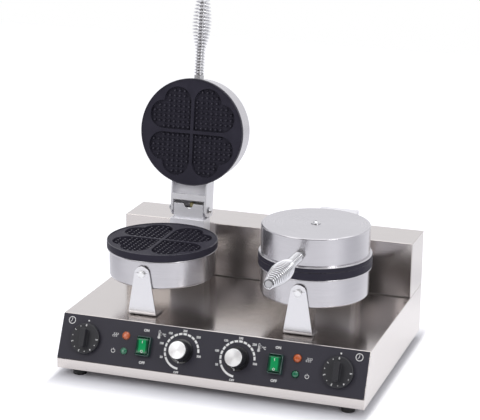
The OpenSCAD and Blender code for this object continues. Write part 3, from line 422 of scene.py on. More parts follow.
SLOT_MATERIAL = {
    "brushed_steel": "sheet", "bright_metal": "bright", "nonstick_casting": "casting",
    "panel_face": "panel", "black_plastic": "black", "rubber": "rubber", "green_lens": "green",
    "orange_lens": "orange", "ceramic": "ceramic", "glass_fibre": "sleeve",
}


# ---- Meshes ----

def add_object(name, mesh, body, material, slot, *replaced):
    """Links a finished mesh, and says what it rides on and what it replaces. The slot is not used."""
    piece = bpy.data.objects.new(name, mesh)
    bpy.context.scene.collection.objects.link(piece)
    piece.data.materials.append(MATERIALS[material])
    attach(piece, body)
    if replaced:
        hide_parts(*replaced)
    return piece


def to_mesh(shape, name, place=None, sharp=math.radians(38)):
    """Turns a bmesh into a mesh that is smooth but for its sharp edges."""
    bmesh.ops.recalc_face_normals(shape, faces=shape.faces)
    if place is not None:
        shape.transform(place)
    for face in shape.faces:
        face.smooth = True
    for edge in shape.edges:
        if len(edge.link_faces) == 2:
            edge.smooth = edge.calc_face_angle(0.0) < sharp
    mesh = bpy.data.meshes.new(name)
    shape.to_mesh(mesh)
    shape.free()
    return mesh


def weigh_normals(piece):
    modifier = piece.modifiers.new("flat faces", "WEIGHTED_NORMAL")
    modifier.weight = 60
    modifier.keep_sharp = True


def ring_of(shape, radius, z, count):
    """A ring of vertices, or one vertex on the axis."""
    if radius == 0:
        return [shape.verts.new((0, 0, z))]
    angles = [2 * math.pi * i / count for i in range(count)]
    return [shape.verts.new((radius * math.cos(a), radius * math.sin(a), z)) for a in angles]


def bridge(shape, first, second):
    """Faces between two closed rows of vertices; either may be a single vertex."""
    count = max(len(first), len(second))
    for i in range(count):
        corners = [first[i % len(first)], first[(i + 1) % len(first)],
                   second[(i + 1) % len(second)], second[i % len(second)]]
        corners = list(dict.fromkeys(corners))
        if len(corners) > 2:
            shape.faces.new(corners)


def inside(point, outline):
    """True if a point lies in a closed outline."""
    crossings = 0
    for a, b in zip(outline, outline[1:] + outline[:1]):
        if (a.y > point.y) != (b.y > point.y):
            crossings += point.x < a.x + (b.x - a.x) * (point.y - a.y) / (b.y - a.y)
    return crossings % 2 == 1


def fill(shape, outer, holes):
    """Triangles inside a row of vertices, with holes."""
    vertices, edges, loop_of = [], [], []
    outlines = [[vertex.co.to_2d() / MM for vertex in loop] for loop in [outer] + list(holes)]
    for number, loop in enumerate([outer] + list(holes)):
        start, count = len(vertices), len(loop)
        edges += [(start + i, start + (i + 1) % count) for i in range(count)]
        vertices += loop
        loop_of += [number] * count
    points = [point for outline in outlines for point in outline]
    found = delaunay_2d_cdt(points, edges, [], 1, 1e-6)
    for corners in found[2]:
        own = [found[3][corner][0] for corner in corners]
        numbers = {loop_of[i] for i in own}
        if len(numbers) == 1:
            # this one spans a hole, or a bay of the outer row
            number = numbers.pop()
            middle = sum((points[i] for i in own), Vector((0, 0))) / 3
            if inside(middle, outlines[number]) != (number == 0):
                continue
        shape.faces.new([vertices[i] for i in own])


# ---- CAD nodes that stay ----

# Edge radii in millimetres
EDGE = {"support_strap": 0.5, "hinge_bracket": 0.45, "clevis": 0.4, "lid_arm": 0.45,
        "rear_cover": 0.25, "control_panel": 0.2, "switch_body": 1.2, "rocker": 0.6,
        "timer_knob": 0.7, "handle_rod": 0.4}

# Materials that differ from their slot's own
OTHER_MATERIAL = {"support_strap": "strap", "hinge_bracket": "bracket", "clevis": "plated",
                  "lid_arm": "plated", "switch_body": "bezel", "handle_rod": "rod",
                  "support_bolts": "bolt", "lid_screw": "pin", "hinge_pin": "pin",
                  "timer_knob": "dial"}
SIDE_MATERIAL = {"lower_drum": "drum", "lid_drum": "lid", "knob_cap": "cap", "rocker": "rocker"}


def dress(node, material, edge):
    """Gives a CAD node its material and, where it has an edge radius, softened edges."""
    piece = NODES[node]
    piece.data.materials.clear()
    piece.data.materials.append(MATERIALS[material])
    if edge is None:
        return
    if "custom_normal" in piece.data.attributes:
        piece.data.attributes.remove(piece.data.attributes["custom_normal"])
    for face in piece.data.polygons:
        face.use_smooth = True
    weld = piece.modifiers.new("weld", "WELD")
    weld.merge_threshold = 0.002 * MM
    flats = piece.modifiers.new("flats", "DECIMATE")
    flats.decimate_type = "DISSOLVE"
    flats.angle_limit = math.radians(0.3)
    bevel = piece.modifiers.new("edges", "BEVEL")
    bevel.width = edge * MM
    bevel.segments = 2
    bevel.limit_method = "ANGLE"
    bevel.angle_limit = math.radians(35)
    bevel.use_clamp_overlap = False
    weigh_normals(piece)


def dress_nodes():
    for entry in frame["record"]["subparts"]:
        node = entry["node"]
        side, _, kind = node.partition("_")
        if side not in SIDES:
            kind = node
        material = OTHER_MATERIAL.get(kind, SLOT_MATERIAL[entry["material_slot"]])
        if kind in SIDE_MATERIAL:
            material = f"{side}_{SIDE_MATERIAL[kind]}"
        dress(node, material, EDGE.get(kind))


# ---- Housings ----

SHEET_T = 1.2 * MM
BEND = 1.6 * MM
FLANGE = 14 * MM


def folded_box(outline, x0, x1, open_way):
    """A box of sheet with rounded bends, open on one side inside a turned-in flange."""
    shape = bmesh.new()
    left = [shape.verts.new((x0, y, z)) for y, z in outline]
    right = [shape.verts.new((x1, y, z)) for y, z in outline]
    shape.faces.new(left)
    shape.faces.new(right[::-1])
    bridge(shape, left, right)
    bmesh.ops.recalc_face_normals(shape, faces=shape.faces)
    mouth = max(shape.faces, key=lambda face: face.normal.dot(open_way) + face.calc_area())
    bends = [edge for edge in shape.edges if edge not in mouth.edges]
    bmesh.ops.bevel(shape, geom=bends, offset=BEND, segments=4, profile=0.5, affect="EDGES")
    mouth = max(shape.faces,
                key=lambda face: (face.normal.dot(open_way) > 0.99) * face.calc_area())
    bmesh.ops.inset_individual(shape, faces=[mouth], thickness=FLANGE)
    shape.faces.remove(mouth)
    return shape


def add_housing(name, outline, box, open_way):
    shape = folded_box(outline, box[0].x, box[1].x, open_way)
    piece = add_object(name, to_mesh(shape, name, sharp=math.radians(60)), "frame", "sheet",
                       "brushed_steel", name.replace("_shell", "_housing"))
    thick = piece.modifiers.new("sheet", "SOLIDIFY")
    thick.thickness = SHEET_T
    thick.offset = -1
    weigh_normals(piece)


def add_housings():
    low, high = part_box("base_housing")
    slope = panel_place(0).to_3x3().col[1]
    run = (high.z - lip_height()) * slope.y / slope.z
    base = [(low.y, low.z), (high.y, low.z), (high.y, high.z), (low.y + run, high.z),
            (low.y, lip_height())]
    add_housing("base_shell", base, (low, high), Vector((0, 0, -1)))
    low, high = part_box("riser_housing")
    riser = [(low.y, low.z), (high.y, low.z), (high.y, high.z), (low.y, high.z)]
    add_housing("riser_shell", riser, (low, high), Vector((0, 1, 0)))


# The bead's section from the riser's foot: out over the deck, and up
SEAM_SIZE = 1.1 * MM
SEAM_SECTION = [(0, 0), (-1.8, 0), (-1.7, 0.35), (-1.25, 0.8), (-0.75, 1.25), (-0.3, 1.7),
                (0, 1.8)]


def add_seam():
    """A dark bead where the riser stands on the deck: painted shade along that crease."""
    low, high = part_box("riser_housing")
    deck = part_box("base_housing")[1].z
    shape = bmesh.new()
    rows = [[shape.verts.new((x, low.y + y * SEAM_SIZE, deck + z * SEAM_SIZE))
             for y, z in SEAM_SECTION] for x in (low.x + BEND, high.x - BEND)]
    bridge(shape, rows[0], rows[1])
    shape.faces.new(rows[0])
    shape.faces.new(rows[1][::-1])
    add_object("riser_seam", to_mesh(shape, "riser_seam"), "frame", "crease_shade", "rubber")


def lip_height():
    """Where the slope meets the upright lip."""
    slope = panel_place(0).to_3x3().col[1]
    on_slope = panel_place(0, 0).translation
    return on_slope.z - (on_slope.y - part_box("base_housing")[0].y) * slope.z / slope.y


# ---- Baking plates ----

RIB_W = 5.6 * MM
HEART_SIDE = 52.5 * MM
STUD_W = 4.4 * MM
STUD_PITCH = 9.4 * MM
STUD_SHIFT = 0.3 * MM
STUD_MARGIN = 0.8 * MM
RIM_W = 1.6 * MM
RIM_H = 1.2 * MM
# A heart's near edges, its far ones and the middles of its lobes, from the plate's middle
HEART_NEAR = RIB_W / 2
HEART_FAR = HEART_NEAR + HEART_SIDE
HEART_HALF = HEART_NEAR + HEART_SIDE / 2
LOBE_STEPS = 20
NOTCH_STEPS = 4
PLATE_STEPS = 128
PILLAR_R = 9 * MM
# Distance in from the heart's edge and depth below the face, from the mouth to the floor
POCKET_WALL = [(0.02, 0.0), (0.15, 0.1), (0.3, 0.45), (0.42, 5.8), (0.5, 6.3), (0.7, 6.5)]
# Half width and depth below the face, from a stud's foot to its top
STUD_WALL = [(2.8, 6.5), (2.5, 6.15), (2.2, 5.2), (1.9, 1.9), (1.65, 1.45), (1.1, 1.2)]
STUD_CORNER = 0.3
# The plates' second material, on what rubs: the rim and the studs' tops
WORN = 1


def arc(centre, radius, start, end, steps):
    angles = [math.radians(start + (end - start) * i / steps) for i in range(steps + 1)]
    return [(centre[0] + radius * math.cos(a), centre[1] + radius * math.sin(a)) for a in angles]


def heart(inset):
    """A heart's outline, its point near the middle of the plate, drawn in by a distance."""
    lobe_r = HEART_SIDE / 2 - inset
    point = (HEART_NEAR + inset, HEART_NEAR + inset)
    lobe_one = arc((HEART_FAR, HEART_HALF), lobe_r, -90, 90, LOBE_STEPS)
    notch = arc((HEART_FAR, HEART_FAR), inset, -90, -180, NOTCH_STEPS)
    lobe_two = arc((HEART_HALF, HEART_FAR), lobe_r, 0, 180, LOBE_STEPS)
    return [point] + lobe_one + notch[1:-1] + lobe_two


def in_heart(x, y, margin):
    if min(x, y) <= HEART_NEAR + margin:
        return False
    lobes = ((HEART_FAR, HEART_HALF), (HEART_HALF, HEART_FAR))
    nearest = min(math.dist((x, y), lobe) for lobe in lobes)
    return max(x, y) < HEART_FAR or nearest < HEART_SIDE / 2 - margin


def stud_places():
    start = HEART_NEAR + STUD_PITCH / 2 + STUD_SHIFT
    grid = [start + STUD_PITCH * i for i in range(int(PLATE_R / STUD_PITCH))]
    return [(x, y) for x in grid for y in grid if fits(x, y, STUD_W / 2)]


def fits(x, y, half):
    """True if a square stands clear of the heart's edge."""
    return all(in_heart(x + i * half, y + j * half, STUD_MARGIN)
               for i in (-1, 1) for j in (-1, 1))


def stud_ring(shape, place, half, z, turn):
    """A square with cut corners."""
    cut = half * (1 - STUD_CORNER)
    corners = [(half, cut), (cut, half), (-cut, half), (-half, cut),
               (-half, -cut), (-cut, -half), (cut, -half), (half, -cut)]
    return [shape.verts.new(turn @ Vector((place[0] + x, place[1] + y, z))) for x, y in corners]


def add_pocket(shape, face_z, turn):
    """One heart pocket with its studs. Gives the row of vertices at its mouth."""
    rows = []
    for inset, depth in POCKET_WALL:
        z = face_z - depth * MM
        rows.append([shape.verts.new(turn @ Vector((x, y, z))) for x, y in heart(inset * MM)])
    for first, second in zip(rows, rows[1:]):
        bridge(shape, first, second)
    feet = []
    for place in stud_places():
        foot = STUD_WALL[0][0] * MM
        widest = foot if fits(*place, foot) else STUD_W / 2
        rings = [stud_ring(shape, place, min(half * MM, widest), face_z - depth * MM, turn)
                 for half, depth in STUD_WALL]
        for first, second in zip(rings, rings[1:]):
            bridge(shape, first, second)
        shape.faces.new(rings[-1]).material_index = WORN
        feet.append(rings[0])
    fill(shape, rows[-1], feet)
    return rows[0]


def plate_shape(base_z, face_z, back):
    """A plate that faces up: face, rim, edge, and a back that is a list of (radius, z)."""
    top_z = face_z + RIM_H
    r = PLATE_R
    profile = [
        (r - RIM_W - 0.5 * MM, face_z), (r - RIM_W - 0.1 * MM, face_z + 0.15 * MM),
        (r - RIM_W + 0.1 * MM, top_z - 0.35 * MM), (r - RIM_W + 0.4 * MM, top_z),
        (r - 0.5 * MM, top_z), (r - 0.15 * MM, top_z - 0.15 * MM), (r, top_z - 0.5 * MM),
        (r, base_z + 0.6 * MM), (r - 0.2 * MM, base_z + 0.2 * MM), (r - 0.6 * MM, base_z)] + back
    shape = bmesh.new()
    rings = [ring_of(shape, radius, z, PLATE_STEPS) for radius, z in profile]
    for first, second in zip(rings, rings[1:]):
        bridge(shape, first, second)
    for face in shape.faces:
        if face.calc_center_median().z > face_z + RIM_H / 2:
            face.material_index = WORN
    mouths = [add_pocket(shape, face_z, Matrix.Rotation(math.radians(quarter), 4, "Z"))
              for quarter in (0, 90, 180, 270)]
    fill(shape, rings[0], mouths)
    return shape


# The drums' sheet, and the core on the back of an upper plate
DRUM_SHEET = 1.2 * MM
CORE_R = 91.4 * MM
CORE_T = 6 * MM


def add_plate(name, shape, place, body, node):
    mesh = to_mesh(shape, name, place)
    piece = add_object(name, mesh, body, "casting", "nonstick_casting", node)
    piece.data.materials.append(MATERIALS["worn"])
    weigh_normals(piece)


def add_plates():
    floor = DRUM_Z + DRUM_SHEET
    pillar = [(PILLAR_R, PLATE_BASE_Z), (PILLAR_R, floor), (0, floor)]
    # an upper plate is drawn face up at z = 0 and turned over, so its back runs down
    root = UPPER_Z - LID_Z
    depth = LID_TOP_Z - DRUM_SHEET - UPPER_Z
    core = [(CORE_R, root), (CORE_R, root - CORE_T), (PILLAR_R, root - CORE_T),
            (PILLAR_R, -depth), (0, -depth)]
    over = Matrix.Translation((0, 0, UPPER_Z)) @ Matrix.Rotation(math.pi, 4, "X")
    for side in SIDES:
        shape = plate_shape(PLATE_BASE_Z, BAKE_Z - RIM_H, pillar)
        add_plate(f"{side}_lower_waffle_plate", shape, unit_place(side), "frame",
                  f"{side}_lower_plate")
        shape = plate_shape(root, -RIM_H, core)
        add_plate(f"{side}_upper_waffle_plate", shape, lid_place(side) @ over, f"{side}_lid",
                  f"{side}_upper_plate")


# ---- Coiled grips ----

ROD_R = 5.9 * MM
WIRE_R = 1.45 * MM
COIL_SEAT = 0.2 * MM
COLLAR_LEN = 9 * MM
HANDLE_LEN = 173 * MM
HANDLE_UP = 21.5 * MM
HANDLE_TILT = math.radians(1.4)
BELLY_R = 16 * MM
COIL_ROOT = 44 * MM
COIL_TURNS = 27
COIL_STRETCH = 1.3
BELLY_SKEW = 0.8
BELLY_POWER = 1.4
TURN_STEPS = 28
WIRE_END = [0.25, 0.7, 0.92]


def coil_points():
    """The wire's middle line along Z: straight at its root, then a belly, looser at its tip."""
    start = COLLAR_LEN + WIRE_R + COIL_SEAT
    length = HANDLE_LEN - WIRE_R - start
    low_r = ROD_R + WIRE_R + COIL_SEAT
    steps = COIL_TURNS * TURN_STEPS
    points = []
    for k in range(steps + 1):
        u = k / steps
        z = length * (2 * u + (COIL_STRETCH - 1) * u * u) / (1 + COIL_STRETCH)
        belly = max(0.0, (z - COIL_ROOT) / (length - COIL_ROOT))
        swell = math.sin(math.pi * min(1.0, belly) ** BELLY_SKEW) if belly < 1 else 0.0
        radius = low_r + (BELLY_R - low_r) * max(0.0, swell) ** BELLY_POWER
        turn = 2 * math.pi * k / TURN_STEPS
        points.append(Vector((radius * math.cos(turn), radius * math.sin(turn), start + z)))
    return points


def handle_place(side):
    """On a lid's front, with Z along the handle."""
    drum_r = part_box("right_lid_drum")[1].y - unit_centre("right").y - 4 * MM
    foot = Matrix.Translation((0, -drum_r, LID_Z + HANDLE_UP))
    return lid_place(side) @ foot @ Matrix.Rotation(math.pi / 2 - HANDLE_TILT, 4, "X")


def add_grips():
    points = coil_points()
    for side in SIDES:
        curve = bpy.data.curves.new(f"{side}_grip", "CURVE")
        curve.dimensions = "3D"
        curve.bevel_depth = WIRE_R
        curve.bevel_resolution = 3
        curve.use_fill_caps = True
        spline = curve.splines.new("POLY")
        spline.points.add(len(points) - 1)
        for point, place in zip(spline.points, points):
            point.co = (*place, 1.0)
        for i, share in enumerate(WIRE_END):
            spline.points[i].radius = share
            spline.points[-1 - i].radius = share
        holder = bpy.data.objects.new("coil", curve)
        mesh = bpy.data.meshes.new_from_object(holder)
        bpy.data.objects.remove(holder)
        wire = bmesh.new()
        wire.from_mesh(mesh)
        bpy.data.meshes.remove(mesh)
        bmesh.ops.remove_doubles(wire, verts=wire.verts, dist=0.001 * MM)
        mesh = to_mesh(wire, f"{side}_coiled_grip", handle_place(side), math.radians(80))
        add_object(mesh.name, mesh, f"{side}_lid", "wire", "bright_metal", f"{side}_handle_coil")


# ---- Print on the panel and the dials ----

PRINT_T = 0.12 * MM
# How much bolder the letters are, as a share of their size
BOLD = 0.03
DIAL_GAP = 0.6 * MM
# Height of the dials' undersides over the sheet
DIAL_Z = PANEL_T + DIAL_GAP


class Print:
    """Drawings on a flat face, as thin closed solids. Angles run clockwise from up, in degrees."""

    def __init__(self, place):
        self.place = place
        self.shape = bmesh.new()

    def area(self, outline):
        low = [self.shape.verts.new((x, y, 0)) for x, y in outline]
        high = [self.shape.verts.new((x, y, PRINT_T)) for x, y in outline]
        bridge(self.shape, low, high)
        self.shape.faces.new(low[::-1])
        self.shape.faces.new(high)

    def band(self, centre, inner, outer, start, end, steps=24):
        angles = [math.radians(start + (end - start) * i / steps) for i in range(steps + 1)]
        rows = [[(centre[0] + r * math.sin(a), centre[1] + r * math.cos(a)) for a in angles]
                for r in (inner, outer)]
        if abs(end - start) < 360:
            self.area(rows[0] + rows[1][::-1])
            return
        for first, second in ((0, steps // 2), (steps // 2, steps)):
            self.area(rows[0][first:second + 1] + rows[1][first:second + 1][::-1])

    def dot(self, x, y, radius, steps=20):
        self.area(arc((x, y), radius, 0, 360 - 360 / steps, steps - 1))

    def line(self, start, end, width):
        start, end = Vector(start), Vector(end)
        side = (end - start).orthogonal().normalized() * width / 2
        self.area([(start + side)[:], (end + side)[:], (end - side)[:], (start - side)[:]])

    def text(self, words, x, y, size, turn=0.0, width=1.0):
        curve = bpy.data.curves.new("words", "FONT")
        curve.body = words
        curve.size = size
        curve.align_x = "CENTER"
        curve.align_y = "CENTER"
        curve.extrude = PRINT_T / 2
        curve.offset = size * BOLD
        curve.resolution_u = 3
        holder = bpy.data.objects.new("words", curve)
        mesh = bpy.data.meshes.new_from_object(holder)
        bpy.data.objects.remove(holder)
        turned = Matrix.Rotation(-math.radians(turn), 4, "Z")
        lift = Matrix.Translation((x, y, PRINT_T / 2)) @ turned
        mesh.transform(lift @ Matrix.Diagonal((width, 1, 1, 1)))
        self.shape.from_mesh(mesh)
        bpy.data.meshes.remove(mesh)

    def make(self, name, body, slot, material="print"):
        bmesh.ops.remove_doubles(self.shape, verts=self.shape.verts, dist=0.001 * MM)
        add_object(name, to_mesh(self.shape, name, self.place), body, material, slot)


THERMOSTAT_X = abs(JOINTS["right_thermostat_turn"]["pos_m"][0])
SWITCH_X = abs(JOINTS["right_switch_rock"]["pos_m"][0])
TIMER_X = abs(JOINTS["right_timer_turn"]["pos_m"][0])
LABEL = 6.2 * MM
SCALE_IN, SCALE_OUT = 28.1 * MM, 31.7 * MM
SCALE_START, SCALE_OFF_END, SCALE_END = -175, -112, 91
SCALE_PARTS = 13
SCALE_GAP = 3.6
# Temperature and where its number stands, from the knob's centre
DEGREES = [("OFF", -4.6, -36.4), ("50", -34.8, -13.8), ("100", -38.0, 9.4),
           ("150", -24.6, 28.2), ("200", 1.1, 35.0), ("250", 26.2, 27.4), ("300", 31.5, -4.8)]


def draw_thermostat(ink, x):
    for words, dx, dy in DEGREES:
        ink.text(words, x + dx * MM, dy * MM, LABEL * 0.86, width=0.95)
    ink.band((x, 0), SCALE_IN, SCALE_OUT, SCALE_START, SCALE_OFF_END - SCALE_GAP)
    step = (SCALE_END - SCALE_OFF_END) / SCALE_PARTS
    for i in range(SCALE_PARTS):
        start = SCALE_OFF_END + step * i
        ink.band((x, 0), SCALE_IN, SCALE_OUT, start, start + step - SCALE_GAP, 4)


def draw_thermometer(ink, x, y):
    """A thermometer beside the letter of its scale."""
    width, tall = 2.3 * MM, 9 * MM
    ink.line((x - width / 2, y), (x - width / 2, y + tall), 0.6 * MM)
    ink.line((x + width / 2, y), (x + width / 2, y + tall), 0.6 * MM)
    ink.band((x, y + tall), width / 2 - 0.3 * MM, width / 2 + 0.3 * MM, -90, 90, 8)
    ink.band((x, y - 1.6 * MM), 1.8 * MM, 2.5 * MM, 30, 330, 20)
    ink.dot(x, y - 1.6 * MM, 1.3 * MM)
    ink.line((x, y - 1.6 * MM), (x, y + tall * 0.6), 0.9 * MM)
    for i in range(3):
        mark = y + (2 + 2.5 * i) * MM
        ink.line((x + 2.2 * MM, mark), (x + 4 * MM, mark), 0.5 * MM)
    ink.text("°C", x + 9 * MM, y + 3 * MM, LABEL)


def draw_clock(ink, x, y):
    ink.band((x, y), 5.4 * MM, 6.5 * MM, 0, 360, 32)
    ink.line((x, y - 0.4 * MM), (x, y + 4.3 * MM), 0.9 * MM)
    ink.line((x + 0.3 * MM, y + 0.3 * MM), (x - 2.6 * MM, y - 2.6 * MM), 0.9 * MM)


def draw_heat_mark(ink, x, y):
    """Three rising waves."""
    for i in (-1, 0, 1):
        middle = x + i * 3.4 * MM
        ink.band((middle, y + 1.7 * MM), 1.3 * MM, 2.0 * MM, 0, 180, 8)
        ink.band((middle, y - 1.65 * MM), 1.3 * MM, 2.0 * MM, -180, 0, 8)


def draw_power_mark(ink, x, y):
    """A broken ring with an upright stroke."""
    ink.band((x, y), 2.9 * MM, 3.7 * MM, 35, 325, 24)
    ink.line((x, y + 0.6 * MM), (x, y + 4.4 * MM), 0.9 * MM)


# Heights up the slope from the dials' line
ON_UP, OFF_UP = 27.6 * MM, -28.0 * MM
INDEX_UP = 31.6 * MM
INDEX_R = 1.5 * MM
CLOCK = (257.3 * MM, 29.2 * MM)
MARKS_X = 173.5 * MM
HEAT_UP, POWER_UP = 13.8 * MM, -13.6 * MM
THERMOMETERS = [(-94.5 * MM, 20.5 * MM), (84.5 * MM, 20.5 * MM)]


def draw_panel():
    ink = Print(panel_place(0))
    for sign in (-1, 1):
        draw_thermostat(ink, sign * THERMOSTAT_X)
        ink.text("ON", sign * SWITCH_X, ON_UP, LABEL)
        ink.text("OFF", sign * SWITCH_X, OFF_UP, LABEL)
        ink.dot(sign * TIMER_X, INDEX_UP, INDEX_R)
        draw_clock(ink, sign * CLOCK[0], CLOCK[1])
        draw_heat_mark(ink, sign * MARKS_X, HEAT_UP)
        draw_power_mark(ink, sign * MARKS_X, POWER_UP)
    for place in THERMOMETERS:
        draw_thermometer(ink, *place)
    ink.make("panel_print", "frame", "panel_face")


TIMER_T = 8 * MM
TIMER_MINUTES = 5
TIMER_MARK_R = 22.6 * MM
TIMER_STEP = 27


def draw_timers():
    """Minutes round the dial, backwards from the top, with a dot at each half."""
    for side in SIDES:
        ink = Print(panel_place(JOINTS[f"{side}_timer_turn"]["pos_m"][0], DIAL_Z + TIMER_T))
        for i in range(2 * TIMER_MINUTES + 1):
            turn = -TIMER_STEP * i
            x = TIMER_MARK_R * math.sin(math.radians(turn))
            y = TIMER_MARK_R * math.cos(math.radians(turn))
            if i % 2:
                ink.dot(x, y, 0.75 * MM, 12)
            else:
                ink.text(str(i // 2), x, y, 5 * MM, turn)
        ink.make(f"{side}_timer_print", f"{side}_timer", "black_plastic")


SKIRT_T = 3.2 * MM
SKIRT_R = 21 * MM
KNOB_R = 16.4 * MM
KNOB_LOW_R = 18 * MM
KNOB_H = 24 * MM
POINTER = -174
POINTER_W = 1.5 * MM


def draw_pointers():
    """A line on each thermostat knob's skirt, and one up its side."""
    for side in SIDES:
        x = JOINTS[f"{side}_thermostat_turn"]["pos_m"][0]
        aim = Matrix.Rotation(-math.radians(POINTER), 4, "Z")
        ink = Print(panel_place(x, DIAL_Z + SKIRT_T) @ aim)
        ink.line((0, KNOB_LOW_R + 0.3 * MM), (0, SKIRT_R - 0.4 * MM), POINTER_W)
        ink.make(f"{side}_skirt_pointer", f"{side}_thermostat", "black_plastic")
        rise = Vector((0, KNOB_R - KNOB_LOW_R, KNOB_H - SKIRT_T))
        wall = Matrix.Rotation(math.pi / 2 + math.atan2(-rise.y, rise.z), 4, "X")
        foot = Matrix.Translation((0, KNOB_LOW_R, 0))
        outward = Matrix.Rotation(math.pi, 4, "Y")
        ink = Print(panel_place(x, DIAL_Z + SKIRT_T) @ aim @ foot @ wall @ outward)
        ink.line((0, 0.6 * MM), (0, rise.length - 0.6 * MM), POINTER_W)
        ink.make(f"{side}_side_pointer", f"{side}_thermostat", "black_plastic")


# The pivot's height over the panel, the rocker's crest over the pivot, and each half's tilt
ROCKER_LIFT = 9 * MM - 5 * MM
ROCKER_TOP = 7 * MM
ROCKER_TILT = math.radians(7)


def draw_rockers():
    """A stroke on the rocker's upper half and a ring on its lower half."""
    for side in SIDES:
        x = JOINTS[f"{side}_switch_rock"]["pos_m"][0]
        middle = panel_place(x, PANEL_T + ROCKER_LIFT) @ Matrix.Rotation(ROCKER_TILT, 4, "X")
        middle = middle @ Matrix.Translation((0, 0, ROCKER_TOP))
        ink = Print(middle @ Matrix.Rotation(ROCKER_TILT, 4, "X"))
        ink.line((0, 5.4 * MM), (0, 9.8 * MM), 0.9 * MM)
        ink.make(f"{side}_rocker_on", f"{side}_switch", "green_lens")
        ink = Print(middle @ Matrix.Rotation(-ROCKER_TILT, 4, "X"))
        ink.band((0, -8.6 * MM), 1.5 * MM, 2.2 * MM, 0, 360, 20)
        ink.make(f"{side}_rocker_off", f"{side}_switch", "green_lens")


# ---- Indicator lamps ----

LAMP_X = 153.5 * MM
# Height up the slope from the dials' line, radius, and the name of the finish
LAMPS = {"heat_lamps": (14.4 * MM, 7.5 * MM, "orange"),
         "power_lamps": (-12.3 * MM, 6.6 * MM, "green")}
LAMP_NECK = 5 * MM
LAMP_TAIL = 24 * MM
LAMP_COLLAR = 2 * MM
LAMP_STEPS = 40
LENS_SIDES = 10
LENS_INSET = 0.7 * MM
LENS_DOME = 0.62
# Radius and height of each row of facets, as shares of the dome's own
LENS_ROWS = [(1.0, 0.0), (0.9, 0.42), (0.66, 0.76), (0.34, 0.95)]
# The lamps' second material
COLLAR = 1


def draw_lamp(shape, place, r):
    """A faceted lens in a collar, on a body that runs through the panel."""
    collar = PANEL_T + LAMP_COLLAR
    body = [(0, -LAMP_TAIL), (LAMP_NECK, -LAMP_TAIL), (LAMP_NECK, PANEL_T), (r, PANEL_T),
            (r, collar - 0.5 * MM), (r - 0.3 * MM, collar), (r - 0.6 * MM, collar),
            (r - 0.9 * MM, collar - 0.6 * MM), (0, collar - 0.6 * MM)]
    others = set(shape.faces)
    rings = [ring_of(shape, radius, z, LAMP_STEPS) for radius, z in body]
    for first, second in zip(rings, rings[1:]):
        bridge(shape, first, second)
    for face in set(shape.faces) - others:
        face.material_index = COLLAR
    lens_r, lens_z = r - LENS_INSET, collar - 0.5 * MM
    rows = [ring_of(shape, lens_r * share, lens_z + LENS_DOME * r * height, LENS_SIDES)
            for share, height in LENS_ROWS]
    shape.faces.new(rows[0][::-1])
    shape.faces.new(rows[-1])
    for first, second in zip(rows, rows[1:]):
        bridge(shape, first, second)
    placed = [vertex for ring in rings + rows for vertex in ring]
    bmesh.ops.transform(shape, matrix=place, verts=placed)


def add_indicators():
    for node, (up, r, colour) in LAMPS.items():
        shape = bmesh.new()
        for sign in (-1, 1):
            draw_lamp(shape, panel_place(sign * LAMP_X, 0) @ Matrix.Translation((0, up, 0)), r)
        mesh = to_mesh(shape, node.replace("lamps", "lenses"))
        for polygon in mesh.polygons:
            polygon.use_smooth = polygon.material_index == COLLAR
        piece = add_object(mesh.name, mesh, "frame", colour, f"{colour}_lens", node)
        piece.data.materials.append(MATERIALS[f"{colour}_collar"])


# ---- Stage ----

# The camera's aim and place, from the photograph's perspective
AIM = Vector((0.243 * MM, -83.4 * MM, 347.2 * MM))
AZIMUTH = math.radians(19.165)
ELEVATION = math.radians(15.492)
ROLL = math.radians(0.437)
DISTANCE = 2.8388
FOCAL = 127.23
SHIFT = (0.0381, -0.0472)


def add_camera():
    back = Vector((math.sin(AZIMUTH) * math.cos(ELEVATION),
                   -math.cos(AZIMUTH) * math.cos(ELEVATION), math.sin(ELEVATION)))
    right = (-back).cross(UP).normalized()
    up = right.cross(-back)
    tilted_right = right * math.cos(ROLL) + up * math.sin(ROLL)
    tilted_up = up * math.cos(ROLL) - right * math.sin(ROLL)
    lens = bpy.data.cameras.new("camera")
    lens.lens = FOCAL
    lens.sensor_width = 36
    lens.shift_x, lens.shift_y = SHIFT
    lens.clip_end = 20
    camera = bpy.data.objects.new("camera", lens)
    bpy.context.scene.collection.objects.link(camera)
    axes = Matrix((tilted_right, tilted_up, back)).transposed().to_4x4()
    camera.matrix_world = Matrix.Translation(AIM + back * DISTANCE) @ axes
    bpy.context.scene.camera = camera


# Place, point it looks at, size and power
SOFTBOXES = {
    "overhead": ((0.1, 0.25, 1.9), (0, 0, 0.15), (2.4, 1.8), 13),
    "left_front": ((-1.1, -1.7, 1.5), (0, 0, 0.2), (1.1, 1.2), 9),
    "right_front": ((1.7, -1.2, 1.1), (0, 0, 0.2), (0.6, 0.7), 10),
}


def add_lamps():
    for name, (place, aim, size, power) in SOFTBOXES.items():
        data = bpy.data.lights.new(name, "AREA")
        data.shape = "RECTANGLE"
        data.size, data.size_y = size
        data.energy = power
        lamp = bpy.data.objects.new(name, data)
        bpy.context.scene.collection.objects.link(lamp)
        turn = (Vector(aim) - Vector(place)).to_track_quat("-Z", "Y").to_matrix().to_4x4()
        lamp.matrix_world = Matrix.Translation(place) @ turn


FLOOR_REACH = 3.0
FLOOR_COLOUR = (0.78, 0.78, 0.83, 1)
# How far the shadow shows in front and behind, and at the sides
SHADOW_REACH = 0.075
SHADOW_SIDE = 0.012
# The glow that turns the floor white, where it is clear of the shadow
FLOOR_GLOW = 0.5
# Metal sees all of it near the base, and less as the distance from the base goes through these
NEAR_FADE = (0.15, 0.5)
# It sees this much again as the distance from a line along X goes through these
FAR_MOST = 0.7
FAR_LINE = 0.12
FAR_RISE = (0.25, 0.6)


